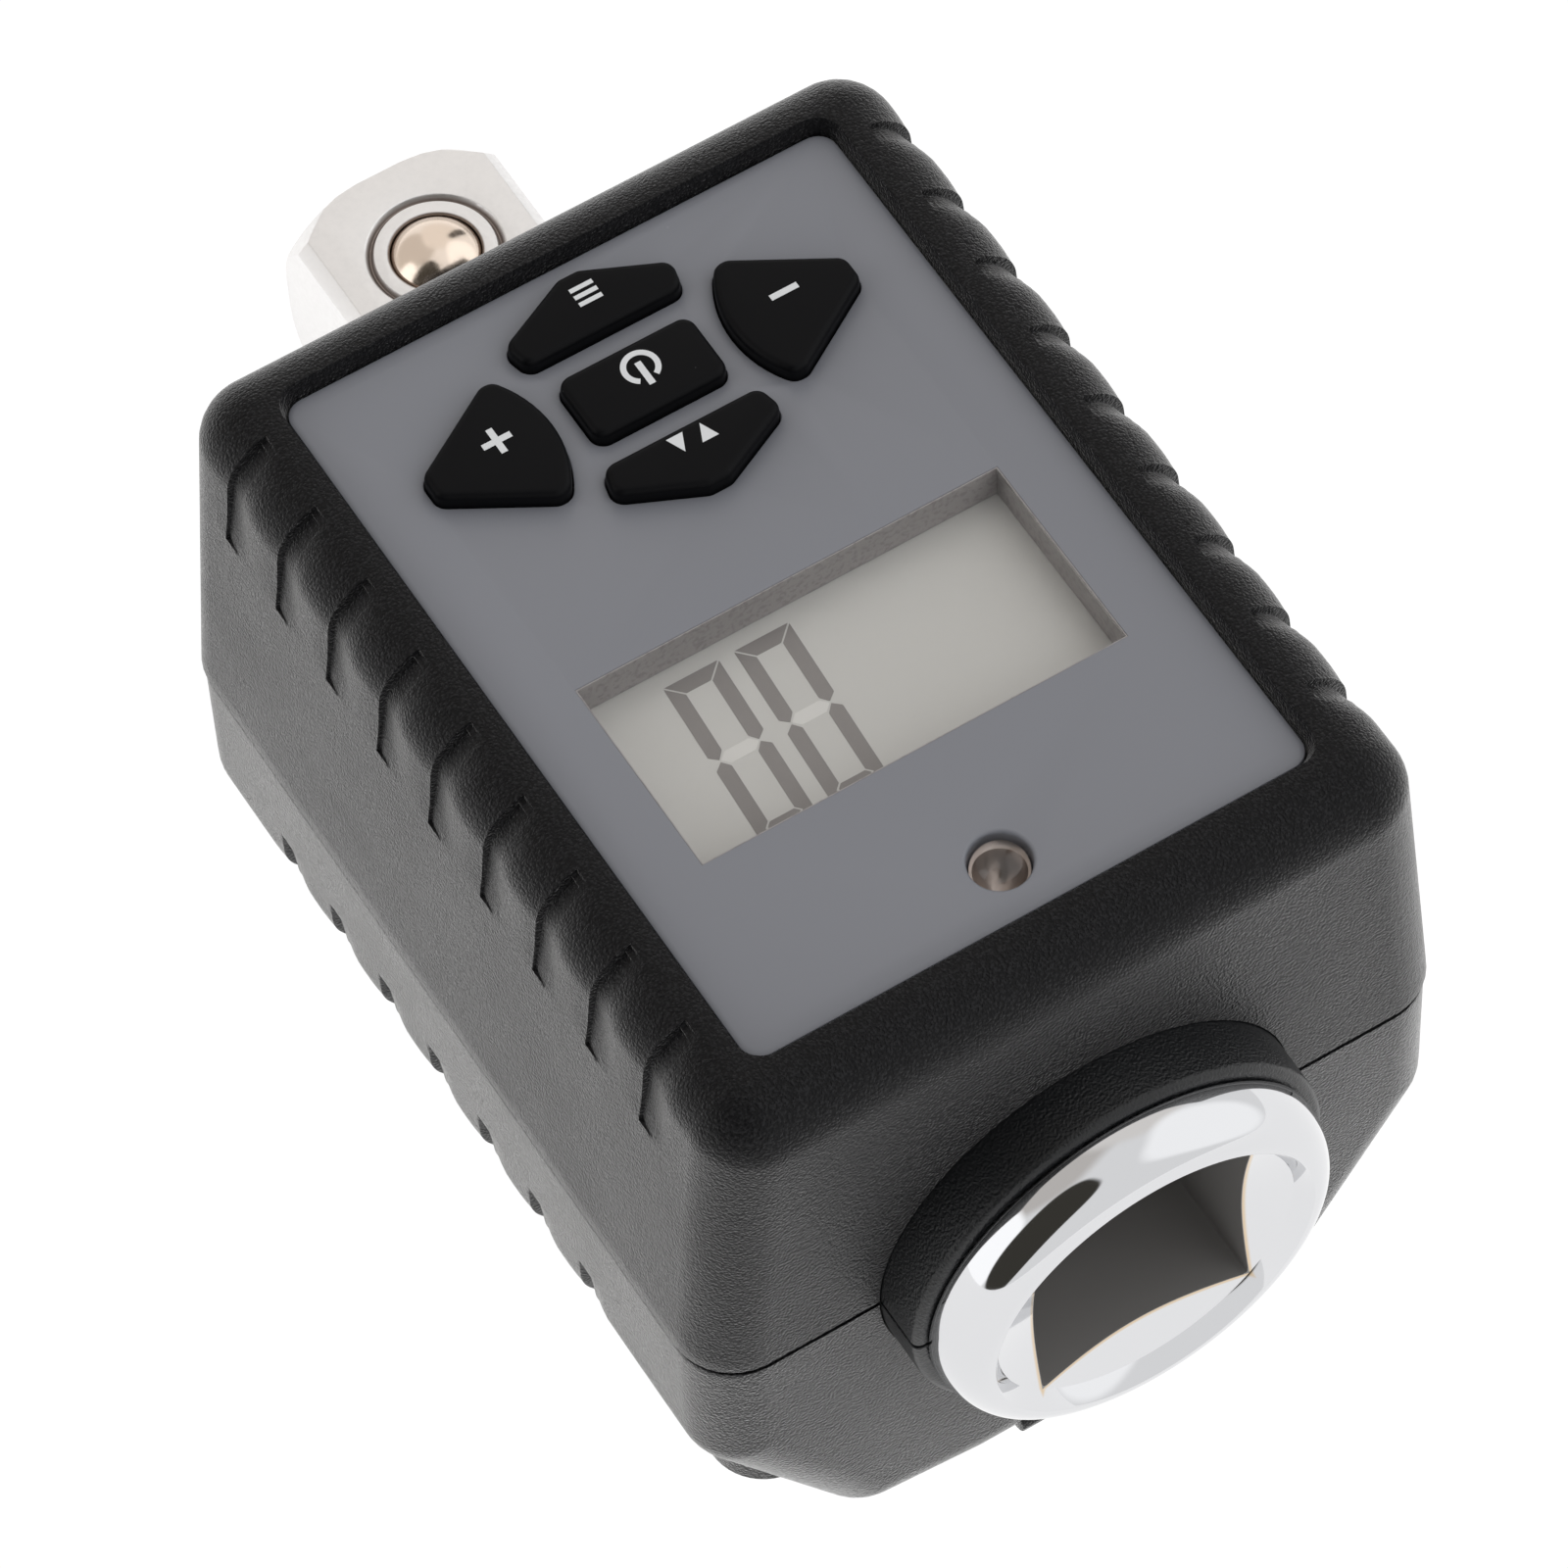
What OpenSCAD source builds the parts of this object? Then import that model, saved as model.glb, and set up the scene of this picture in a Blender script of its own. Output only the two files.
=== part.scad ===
// Digital torque adapter: a square drive socket at the front, a square drive with a
// sprung ball at the back, and a two-part housing with a keypad and a display between them.
// Millimetres. +Z is up, the drive axis runs along Y, and the socket faces -Y.
// The origin is under the middle of the whole adapter, on the surface it stands on.

/* [Body] */
// Length of the body between its front and rear faces
body_l = 55.8; // [55:0.2:60]
// Width of the upper shell at the parting line
body_w = 46.1; // [45.5:0.1:50]
// Height of the rim above the drive axis
rim_h = 22.7; // [22.5:0.1:26]
// Depth of the belly below the drive axis
belly_h = 24.3; // [24.2:0.1:27]
// How far each side wall leans in between the parting line and the rim
side_lean = 1.75; // [1:0.05:2]
// Radius of the corners and edges of the body
edge_r = 3.5; // [3:0.1:3.8]
// Wall thickness of the shells
wall = 2; // [1.8:0.1:2.1]
// Gap between the two shells along the parting line
seam = 0.25; // [0.15:0.05:0.4]
// How far the upper shell stands out over the lower one
seam_step = 0.15; // [0:0.05:0.4]
// Depth of the edge where the lower side wall turns into the slanted flank
flank_top = 9.8; // [8:0.1:11]
// Steepness of the slanted flank above the horizontal, in degrees
flank_deg = 58.5; // [56:0.5:62]
// Width of the flat middle of the belly
belly_flat_w = 13; // [11:0.5:16]
// How far the belly rises from its flat middle to the flanks
belly_bow = 0.8; // [0.5:0.1:1]

/* [Grip grooves] */
// Distance between neighbouring grooves
groove_pitch = 5.28; // [4.8:0.01:5.4]
// Width of one groove
groove_w = 2.3; // [1.5:0.1:2.8]
// How far the upper grooves reach in from the widest part of the body
groove_in = 4.2; // [3.8:0.1:4.4]
// How far the upper grooves reach down from the rim
groove_drop = 7.2; // [5:0.1:8]
// How much shallower a groove is at its front edge than at its rear edge
groove_rise = 0.9; // [0.5:0.1:1.2]
// Number of grooves along each upper edge
upper_grooves = 9; // [7:1:9]
// Number of grooves along each lower edge
lower_grooves = 7; // [5:1:7]
// Place of the middle of the upper grooves, behind the middle of the body
upper_groove_y = 0.7; // [0:0.1:0.9]
// Place of the middle of the lower grooves, behind the middle of the body
lower_groove_y = 1.7; // [0:0.1:3]
// How far the lower grooves reach up over the flank's edge
lower_groove_up = 2.2; // [1:0.1:2.5]
// How far the lower grooves reach down along the flank
lower_groove_down = 6; // [4:0.1:7]

/* [Drives] */
// Size of the square drive across its flats
drive_sq = 12.7; // [12.5:0.05:12.9]
// Size of the square socket across its flats
socket_sq = 12.9; // [12.85:0.05:13]
// Depth of the square socket from the front lip
socket_depth = 17; // [15:0.5:18]
// How far the socket's lip stands in front of the body
socket_reach = 6.8; // [6.4:0.1:9]
// How far the square drive stands out behind the body
drive_reach = 17; // [16:0.1:20]
// Width of the flats that break the long edges of the square drive
drive_chamfer = 0.7; // [0.4:0.1:1]
// Radius of the rounded bead round the socket's mouth
bead_r = 11.95; // [11.8:0.05:12.5]
// Radius that rounds the front of the bead
bead_round = 1.9; // [1.4:0.1:2]
// Radius of the socket head inside the collar
head_r = 10.6; // [10.2:0.1:10.6]
// Radius of the twisting neck between the two drives
neck_r = 7.5; // [6.5:0.1:8]
// Radius of the round journal behind the neck
journal_r = 9.2; // [9:0.1:9.4]
// Radius of the sprung ball in the square drive
ball_r = 3; // [2.6:0.1:3]
// How far the ball stands out of the face of the drive
ball_out = 1.2; // [0.9:0.1:1.3]
// Distance from the ball's centre to the end of the drive
ball_back = 6.4; // [6:0.1:8]

/* [Collar and rear bush] */
// Outer radius of the collar round the socket head
collar_r = 12.65; // [12.3:0.05:12.75]
// How far the collar stands in front of the body
collar_reach = 3.4; // [3:0.1:4]
// Radius of the collar's flange inside the shells
collar_flange_r = 14.2; // [13.6:0.1:14.4]
// Thickness of the flanges that the shells hold
flange_t = 1.8; // [1.4:0.1:1.8]
// Outer radius of the rear bush
bush_r = 11.3; // [10.8:0.1:11.5]
// How far the rear bush stands out of the body
bush_reach = 0.4; // [0.2:0.1:0.6]
// Radius of the flange on the rear bush
bush_flange_r = 12.6; // [12.2:0.1:12.8]

/* [Panel] */
// Width of the grey panel
panel_w = 33.7; // [33:0.1:34]
// Length of the grey panel
panel_l = 47.4; // [47:0.1:48]
// Place of the middle of the panel, behind the middle of the body
panel_y = 0.4; // [0:0.1:0.6]
// Corner radius of the panel
panel_r = 1.2; // [0.8:0.1:1.6]
// Thickness of the panel
panel_t = 1.6; // [1.2:0.1:1.6]
// How far the panel lies below the rim
panel_drop = 1; // [0.8:0.1:1.1]
// Thickness of the adhesive sheet under the panel
tape_t = 0.2; // [0.1:0.05:0.2]
// Thickness of the upper shell under the panel
roof_t = 1.5; // [1.3:0.1:1.6]
// Width of the display window
window_w = 25.7; // [24:0.1:26]
// Length of the display window along the drive axis
window_l = 12.6; // [11:0.1:12.8]
// Distance from the front edge of the panel to the window
window_y = 11.3; // [10.5:0.1:11.5]
// Depth of the display's face below the panel's face
display_drop = 2.4; // [2.2:0.05:2.6]
// Radius of the hole for the signal lamp
lamp_hole_r = 1.72; // [1.65:0.01:1.9]
// Distance from the front edge of the panel to the lamp
lamp_y = 3.4; // [3:0.1:4]
// How far the lamp's dome stands out of the panel
lamp_out = 0.5; // [0.2:0.1:0.8]

/* [Keys] */
// Distance from the rear edge of the panel to the middle of the keypad
keypad_y = 9.1; // [9:0.1:9.3]
// Width of the middle key
power_w = 8.2; // [7.6:0.1:8.4]
// Length of the middle key along the drive axis
power_l = 4.4; // [4:0.1:4.6]
// Corner radius of the keys
key_r = 0.8; // [0.5:0.1:1]
// Width of the keys in front of and behind the middle key
end_key_w = 10.4; // [9.5:0.1:10.6]
// Length of those keys along the drive axis
end_key_l = 4; // [3.8:0.1:4.1]
// Distance from the middle of the keypad to the straight side of those keys
end_key_in = 3.8; // [3.7:0.1:3.9]
// Distance from the middle of the keypad to the inner side of the plus and minus keys
side_key_in = 5.5; // [5.4:0.1:5.8]
// Distance from the middle of the keypad to the outer tip of the plus and minus keys
side_key_out = 13; // [12.4:0.1:13]
// Length of the plus and minus keys along the drive axis
side_key_l = 8.2; // [7.4:0.1:8.6]
// Radius of the curved inner side of the plus and minus keys
side_key_arc = 6.9; // [6.5:0.1:9]
// How far the keys stand out of the panel
key_out = 1; // [0.8:0.1:1.2]
// How far a key moves when it is pressed
key_travel = 0.8; // [0.5:0.1:0.8]
// Gap round each key
key_gap = 0.3; // [0.25:0.05:0.35]

/* [Battery compartment] */
// Diameter of a battery cell
cell_d = 10.5; // [10.2:0.1:10.5]
// Length of a battery cell with its nub
cell_l = 44.5; // [43.5:0.1:44.6]
// Distance between the middles of the two cells
cell_pitch = 11.4; // [11.2:0.1:11.6]
// Thickness of the battery door
door_t = 1.5; // [1.4:0.1:1.5]
// How far the door lies above the flat of the belly
door_inset = 0.3; // [0.3:0.05:0.35]
// Width of the door
door_w = 24.2; // [23:0.1:24.4]
// Distance from the front face of the body to the front edge of the door
door_front = 5.1; // [4.8:0.1:5.5]
// Distance from the rear face of the body to the door's hinge
door_hinge_y = 7.9; // [7.5:0.1:8.5]
// Width of the latch tab and its finger ridge
latch_w = 8; // [6:0.5:8.4]
// Thickness of the walls of the battery tray
tray_t = 0.6; // [0.5:0.05:0.65]

/* [Electronics] */
// Width of the circuit board
board_w = 36.4; // [34:0.2:37]
// Thickness of the circuit board
board_t = 1.2; // [0.8:0.1:1.4]
// Thickness of the display glass
glass_t = 2.1; // [1.8:0.1:2.2]
// Height of the rubber contact strips under the display glass
strip_h = 2.4; // [2.2:0.1:2.8]
// Radius of the buzzer
buzzer_r = 4.5; // [3.5:0.1:4.8]
// Height of the buzzer
buzzer_h = 3; // [2:0.1:3.2]

/* [Fasteners] */
// Radius of the case screws' shanks
case_screw_r = 1.25; // [1.1:0.05:1.3]
// Length of the case screws under the head
case_screw_l = 16; // [12:0.5:17]
// Distance from the side of the upper shell to the case screws
case_screw_x = 6.2; // [6:0.1:6.4]
// Distance from the end faces of the body to the case screws
case_screw_y = 5.9; // [5.8:0.1:6.1]
// Radius of the board screws' shanks
board_screw_r = 0.8; // [0.7:0.05:0.9]

/* [Hidden] */

// Overrun of every cut past the surface that it leaves
over = 1;
// Gap between pieces that rest on each other
seat = 0.05;
// Running fit between round pieces
fit = 0.08;
// Gap between moving pieces that don't guide each other
clear = 0.3;
// Height of the thin discs that start a rounded body
disc_t = 0.1;
// Share of a ball's radius that is flat at its poles
pole_share = 0.1;
// Facets round the rounded corners of the body and of the outlines
corner_fn = 32;

half_l = body_l / 2;
half_w = body_w / 2;
low_half_w = half_w - seam_step;
low_half_l = half_l - seam_step / 2;
lean_h = rim_h - edge_r;
body_y = (socket_reach - drive_reach) / 2;

// Levels above the drive axis
panel_top = rim_h - panel_drop;
panel_low = panel_top - panel_t;
recess_z = panel_low - tape_t;
ceiling = recess_z - roof_t;
glass_top = panel_top - display_drop;
board_top = glass_top - glass_t - strip_h - 2 * seat;
board_low = board_top - board_t;

// Places along the drive axis
panel_front = panel_y - panel_l / 2;
window_mid = panel_front + window_y + window_l / 2;
lamp_place = panel_front + lamp_y;
keypad_mid = panel_y + panel_l / 2 - keypad_y;
lip = -half_l - socket_reach;
collar_front = -half_l - collar_reach;
drive_end = half_l + drive_reach;
ball_y = drive_end - ball_back;
inner_end = half_l - wall;

// Rounded bodies
module knob(r) {
    sphere(r = r, $fn = corner_fn);
    cylinder(r = r * pole_share, h = 2 * r, center = true, $fn = corner_fn);
}

module corners(x, y, z) {
    for (sx = [-1, 1], sy = [-1, 1])
        translate([sx * x, sy * y, z])
            children();
}

module both_sides() {
    children();
    mirror([1, 0, 0])
        children();
}

module along_y() {
    rotate([-90, 0, 0])
        children();
}

// Puts a piece that is drawn about the drive axis in its place above the standing surface
module place() {
    translate([0, body_y, belly_h])
        children();
}

module rounded(w, l, r) {
    offset(r = r, $fn = corner_fn)
        square([w - 2 * r, l - 2 * r], center = true);
}

module slab(w, l, low, high, r = 0) {
    translate([0, 0, low])
        linear_extrude(high - low)
            if (r > 0)
                rounded(w, l, r);
            else
                square([w, l], center = true);
}

// Outer form of the upper half
module upper_form() {
    hull() {
        corners(half_w - edge_r, half_l - edge_r, seam / 2)
            cylinder(r = edge_r, h = disc_t, $fn = corner_fn);
        corners(half_w - side_lean - edge_r, half_l - edge_r, lean_h)
            knob(edge_r);
    }
}

// Outer form of the lower half: upright walls, slanted flanks and a slightly bowed belly
flank_turn = (90 - flank_deg) / 2;
wall_knob_z = -(flank_top - edge_r * tan(flank_turn));
flank_knob_z = -(belly_h - belly_bow - edge_r);
flank_knob_x = low_half_w + ((flank_knob_z + flank_top) * cos(flank_deg) - edge_r) / sin(flank_deg);

module lower_form() {
    hull() {
        corners(low_half_w - edge_r, low_half_l - edge_r, -seam / 2 - disc_t)
            cylinder(r = edge_r, h = disc_t, $fn = corner_fn);
        corners(low_half_w - edge_r, low_half_l - edge_r, wall_knob_z)
            knob(edge_r);
        corners(flank_knob_x, low_half_l - edge_r, flank_knob_z)
            knob(edge_r);
        corners(belly_flat_w / 2, low_half_l - edge_r, -(belly_h - edge_r))
            knob(edge_r);
    }
}

// Half width of the upper shell's outside at a level above the drive axis
function side_x(z) = half_w - side_lean * z / lean_h;

// One groove runs from a to b, points [x, z] on the surface, and is deepest at its rear edge
module groove(a, b) {
    run = norm(b - a) + 2 * over;
    translate([(a.x + b.x) / 2, 0, (a.y + b.y) / 2])
        rotate([0, -atan2(b.x - a.x, a.y - b.y), 0])
            linear_extrude(run, center = true)
                polygon([
                    [0, groove_w / 2],
                    [edge_r, groove_w / 2],
                    [edge_r, -groove_w / 2],
                    [groove_rise, -groove_w / 2]
                ]);
}

module groove_row(count, middle, a, b) {
    for (k = [0 : count - 1])
        translate([0, middle + (k - (count - 1) / 2) * groove_pitch, 0])
            both_sides()
                groove(a, b);
}

groove_low_z = rim_h - groove_drop;
upper_a = [half_w - groove_in, rim_h];
upper_b = [side_x(groove_low_z), groove_low_z];
lower_a = [low_half_w, -(flank_top - lower_groove_up)];
lower_b = [
    low_half_w - lower_groove_down * cos(flank_deg),
    -(flank_top + lower_groove_down * sin(flank_deg))
];

// Outlines of the keys, drawn about the middle of the keypad
end_key_tip = end_key_w / 2;
tip_share = 0.55;
peak_share = 0.12;
foot_share = 0.92;

module end_key_outline() {
    offset(r = key_r, $fn = corner_fn)
        offset(delta = -key_r)
            polygon([
                [-end_key_tip * foot_share, end_key_in],
                [end_key_tip * foot_share, end_key_in],
                [end_key_tip, end_key_in + end_key_l * (1 - tip_share)],
                [end_key_tip * peak_share, end_key_in + end_key_l],
                [-end_key_tip * peak_share, end_key_in + end_key_l],
                [-end_key_tip, end_key_in + end_key_l * (1 - tip_share)]
            ]);
}

side_peak_share = 0.28;

module side_key_outline() {
    span = side_key_out - side_key_in;
    offset(r = key_r, $fn = corner_fn)
        offset(delta = -key_r)
            intersection() {
                polygon([
                    [side_key_in, -side_key_l / 2],
                    [side_key_in + span * side_peak_share, -side_key_l / 2],
                    [side_key_out, -side_key_l * pole_share],
                    [side_key_out, side_key_l * pole_share],
                    [side_key_in + span * side_peak_share, side_key_l / 2],
                    [side_key_in, side_key_l / 2]
                ]);
                translate([side_key_in + side_key_arc, 0])
                    circle(r = side_key_arc, $fn = 2 * corner_fn);
            }
}

module key_outline(name) {
    if (name == "power")
        rounded(power_w, power_l, key_r);
    if (name == "menu")
        end_key_outline();
    if (name == "mode")
        mirror([0, 1])
            end_key_outline();
    if (name == "minus")
        side_key_outline();
    if (name == "plus")
        mirror([1, 0])
            side_key_outline();
}

key_names = ["plus", "minus", "menu", "power", "mode"];

module key_outlines(grow) {
    translate([0, keypad_mid])
        for (name = key_names)
            offset(delta = grow)
                key_outline(name);
}

// Where the screws go, seen from above
screw_x = half_w - case_screw_x;
screw_y = half_l - case_screw_y;
case_screws_at = [
    [screw_x, screw_y], [-screw_x, screw_y], [screw_x, -screw_y], [-screw_x, -screw_y]
];
board_post_r = board_screw_r + wall / 2;
rear_post_x = board_w / 2 - board_post_r - clear;
front_post_x = panel_w * 0.3;
rear_post_y = keypad_mid - side_key_l;
front_post_y = lamp_place;
board_screws_at = [
    [rear_post_x, rear_post_y], [-rear_post_x, rear_post_y],
    [front_post_x, front_post_y], [-front_post_x, front_post_y]
];
upper_post_r = case_screw_r + wall * 0.65;
screw_head_r = case_screw_r * 1.85;
screw_head_h = case_screw_r * 1.3;
lower_post_r = screw_head_r + wall / 2;
screw_seat_z = -flank_top;
screw_tip_z = screw_seat_z + case_screw_l;

// Display parts share these outlines
bezel_t = 0.8;
glass_w = window_w + 2 * wall;
glass_l = window_l + 2 * wall;
boss_w = glass_w + 2 * bezel_t;
boss_l = glass_l + 2 * bezel_t;
bezel_w = boss_w + 2 * bezel_t;
bezel_l = boss_l + 2 * bezel_t;

module at_panel() {
    translate([0, panel_y, 0])
        children();
}

module at_window() {
    translate([0, window_mid, 0])
        children();
}

// Upper shell: panel recess, roof with its openings, posts for the board and the case screws
module upper_cavity() {
    top = side_x(ceiling) - wall;
    along_y()
        linear_extrude(2 * inner_end, center = true)
            polygon([
                [-(half_w - wall), over],
                [half_w - wall, over],
                [half_w - wall, 0],
                [top, -ceiling],
                [-top, -ceiling],
                [-(half_w - wall), 0]
            ]);
}

module upper_shell() {
    color([0.09, 0.09, 0.10])
        place()
            difference() {
                union() {
                    difference() {
                        upper_form();
                        upper_cavity();
                    }
                    for (p = case_screws_at)
                        translate([p.x, p.y, seam / 2])
                            cylinder(r = upper_post_r, h = ceiling + roof_t / 2, $fn = 48);
                    for (p = board_screws_at)
                        translate([p.x, p.y, board_top + seat])
                            cylinder(r = board_post_r, h = recess_z - board_top - roof_t / 2, $fn = 48);
                }
                at_panel()
                    slab(panel_w + 2 * seat, panel_l + 2 * seat, recess_z, rim_h + over, panel_r);
                at_window()
                    slab(boss_w + 2 * seat, boss_l + 2 * seat, ceiling - over, rim_h);
                translate([0, 0, ceiling - over])
                    linear_extrude(rim_h)
                        key_outlines(key_gap);
                translate([0, lamp_place, ceiling - over])
                    cylinder(r = lamp_hole_r + seat, h = rim_h, $fn = 48);
                along_y()
                    translate([0, 0, -half_l - over])
                        cylinder(r = collar_r + fit, h = wall + 2 * over, $fn = 96);
                along_y()
                    translate([0, 0, inner_end - over])
                        cylinder(r = bush_r + fit, h = wall + 2 * over, $fn = 96);
                groove_row(upper_grooves, upper_groove_y, upper_a, upper_b);
                for (p = case_screws_at)
                    translate([p.x, p.y, -over])
                        cylinder(r = case_screw_r + seat, h = screw_tip_z + 2 * over, $fn = 32);
                for (p = board_screws_at)
                    translate([p.x, p.y, board_low])
                        cylinder(r = board_screw_r + seat, h = board_t + wall * 1.75, $fn = 32);
            }
}

// Lower shell: locating lip, screw wells, and the opening for the battery door
low_cavity_x = low_half_w - wall;
low_cavity_z = -(flank_top - wall * tan(flank_turn));
floor_z = -(belly_h - wall);
floor_x = low_half_w - wall / sin(flank_deg) - (-floor_z - flank_top) / tan(flank_deg);
low_inner_end = low_half_l - wall;
lip_h = wall / 2;
lip_t = wall * 0.4;

door_low_z = -(belly_h - door_inset);
door_top_z = door_low_z + door_t;
door_front_y = -half_l + door_front;
hinge_y = half_l - door_hinge_y;
hinge_z = (door_low_z + door_top_z) / 2;
knuckle_r = door_t / 2;
knuckle_half = belly_flat_w / 2 - wall / 4;
hinge_pin_r = knuckle_r * 0.53;
hinge_pin_half = knuckle_half + wall * 0.7;
door_rear_y = hinge_y - 2 * knuckle_r;
opening_rear_y = door_rear_y + 2 * clear;
latch_y = -(low_half_l - edge_r);
ridge_r = door_t * 0.6;
ridge_y = latch_y - edge_r * 0.72;
ridge_z = -(belly_h - edge_r) - edge_r * 0.6;

module box(x0, x1, y0, y1, z0, z1) {
    translate([x0, y0, z0])
        cube([x1 - x0, y1 - y0, z1 - z0]);
}

module lower_cavity() {
    along_y()
        linear_extrude(2 * low_inner_end, center = true)
            polygon([
                [-low_cavity_x, -over],
                [low_cavity_x, -over],
                [low_cavity_x, -low_cavity_z],
                [floor_x, -floor_z],
                [-floor_x, -floor_z],
                [-low_cavity_x, -low_cavity_z]
            ]);
}

module lower_lip() {
    w = 2 * (low_cavity_x + seam_step - fit) - 2 * seat;
    l = 2 * (inner_end - fit) - 2 * seat;
    difference() {
        slab(w, l, -wall, lip_h);
        slab(w - 2 * lip_t, l - 2 * lip_t, -wall - over, lip_h + over);
    }
}

module door_opening() {
    side = door_w / 2 + clear;
    far = belly_h + over;
    box(-side, side, door_front_y - clear, opening_rear_y, -far, door_top_z + clear);
    box(-knuckle_half - clear, knuckle_half + clear,
        hinge_y - door_t, hinge_y + knuckle_r + clear, -far, door_top_z + clear);
    box(-latch_w / 2 - clear, latch_w / 2 + clear,
        -half_l - over, door_front_y, -far, ridge_z + ridge_r + clear);
}

module lower_shell() {
    color([0.09, 0.09, 0.10])
        place()
            difference() {
                union() {
                    difference() {
                        lower_form();
                        lower_cavity();
                    }
                    difference() {
                        lower_lip();
                        for (sy = [-1, 1])
                            translate([0, sy * half_l, 0])
                                along_y()
                                    cylinder(r = collar_flange_r + wall, h = 4 * wall, center = true, $fn = 96);
                    }
                    intersection() {
                        lower_form();
                        for (p = case_screws_at)
                            translate([p.x, p.y, -belly_h])
                                cylinder(r = lower_post_r, h = belly_h - seam / 2, $fn = 48);
                    }
                }
                along_y()
                    translate([0, 0, -half_l - over])
                        cylinder(r = collar_r + fit, h = wall + 2 * over, $fn = 96);
                along_y()
                    translate([0, 0, low_inner_end - over])
                        cylinder(r = bush_r + fit, h = wall + 2 * over, $fn = 96);
                for (p = case_screws_at) {
                    translate([p.x, p.y, screw_seat_z - over])
                        cylinder(r = case_screw_r + 2 * seat, h = -screw_seat_z + 2 * over, $fn = 32);
                    translate([p.x, p.y, -belly_h - over])
                        cylinder(r = screw_head_r + 2 * seat, h = belly_h + screw_seat_z + over, $fn = 48);
                }
                door_opening();
                translate([0, hinge_y, hinge_z])
                    rotate([0, 90, 0])
                        cylinder(r = hinge_pin_r + seat, h = 2 * hinge_pin_half + 2 * clear, center = true, $fn = 32);
                groove_row(lower_grooves, lower_groove_y, lower_a, lower_b);
            }
}

// Collar in two halves, split level with the shells, with a flange behind the front wall
module collar_ring() {
    along_y()
        difference() {
            union() {
                translate([0, 0, collar_front])
                    cylinder(r = collar_r, h = collar_reach + wall + seat * 4 + flange_t, $fn = 96);
                translate([0, 0, -inner_end + seat * 4])
                    cylinder(r = collar_flange_r, h = flange_t, $fn = 96);
            }
            translate([0, 0, collar_front - over])
                cylinder(r = head_r + fit, h = collar_reach + wall + flange_t + 3 * over, $fn = 96);
        }
}

tray_roof_z = -(head_r + clear);

module collar_upper() {
    color([0.12, 0.13, 0.15])
        place()
            intersection() {
                collar_ring();
                slab(4 * collar_r, 2 * body_l, seam / 2, 2 * collar_r);
            }
}

module collar_lower() {
    color([0.12, 0.13, 0.15])
        place()
            difference() {
                intersection() {
                    collar_ring();
                    slab(4 * collar_r, 2 * body_l, -2 * collar_r, -seam / 2);
                }
                box(-2 * collar_r, 2 * collar_r, -low_inner_end - seat, 0, -2 * collar_r, tray_roof_z + seat);
            }
}

// Rear bush with its flange, flat underneath where it passes over the battery tray
module rear_bush() {
    color([0.10, 0.10, 0.11])
        place()
            difference() {
                along_y()
                    difference() {
                        union() {
                            translate([0, 0, inner_end - seat * 4 - flange_t])
                                cylinder(r = bush_r, h = flange_t + seat * 4 + wall + bush_reach, $fn = 96);
                            translate([0, 0, inner_end - seat * 4 - flange_t])
                                cylinder(r = bush_flange_r, h = flange_t, $fn = 96);
                        }
                        translate([0, 0, inner_end - flange_t - over])
                            cylinder(r = journal_r + fit, h = wall + flange_t + 3 * over, $fn = 96);
                    }
                box(-2 * bush_r, 2 * bush_r, 0, low_inner_end + seat, -2 * bush_r, tray_roof_z + seat);
            }
}

// Shaft: socket head, twisting neck with gauge flats, journal and square drive in one piece
shoulder_y = lip + socket_depth + wall;
neck_front = shoulder_y + wall;
bush_inner_y = inner_end - seat * 4 - flange_t;
ring_t = wall * 0.35;
ring_y = bush_inner_y - seat - ring_t;
journal_front = ring_y - wall;
square_y = half_l + bush_reach + wall / 4;
mouth_r = bead_r - bead_round - seat * 4;
corner_mouth_r = socket_sq * 0.71;
mouth_depth = bead_round / 2;
cone_depth = bead_round * 0.95;
gauge_flat = neck_r * 0.87;
gauge_y = (neck_front + journal_front) / 2;
gauge_span = neck_r * 1.9;
tip_flat_r = drive_sq * 0.51;
tip_mid_r = drive_sq * 0.58;
tip_out_r = drive_sq * 0.72;
tip_mid_drop = drive_sq * 0.04;
tip_drop = drive_sq * 0.225;
dimple_r = ball_r * 0.75;
dimple_deep = ball_out * 0.6;

bead_back = collar_front - seat * 2;
bead_chamfer = bead_round * 0.15;

module shaft_section() {
    intersection() {
        translate([bead_r - bead_round, lip + bead_round])
            circle(r = bead_round, $fn = 64);
        translate([0, lip])
            square([2 * bead_r, bead_round]);
    }
    translate([0, lip])
        square([bead_r - bead_round, bead_round]);
    polygon([
        [0, lip + bead_round], [bead_r, lip + bead_round], [bead_r, bead_back - bead_chamfer],
        [bead_r - bead_chamfer, bead_back], [0, bead_back]
    ]);
    translate([0, lip + bead_round])
        square([head_r, shoulder_y - lip - bead_round]);
    polygon([
        [0, shoulder_y - seat], [head_r, shoulder_y - seat], [head_r, shoulder_y],
        [neck_r, neck_front], [neck_r, journal_front - wall], [journal_r, journal_front],
        [journal_r, square_y], [0, square_y]
    ]);
}

module drive_bar() {
    intersection() {
        along_y()
            translate([0, 0, square_y - over])
                linear_extrude(drive_end - square_y + over)
                    intersection() {
                        square(drive_sq, center = true);
                        rotate(45)
                            square((drive_sq - drive_chamfer) * sqrt(2), center = true);
                    }
        along_y()
            rotate_extrude($fn = 96)
                polygon([
                    [0, square_y - over],
                    [tip_out_r, square_y - over],
                    [tip_out_r, drive_end - tip_drop],
                    [tip_mid_r, drive_end - tip_mid_drop],
                    [tip_flat_r, drive_end],
                    [0, drive_end]
                ]);
    }
}

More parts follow.
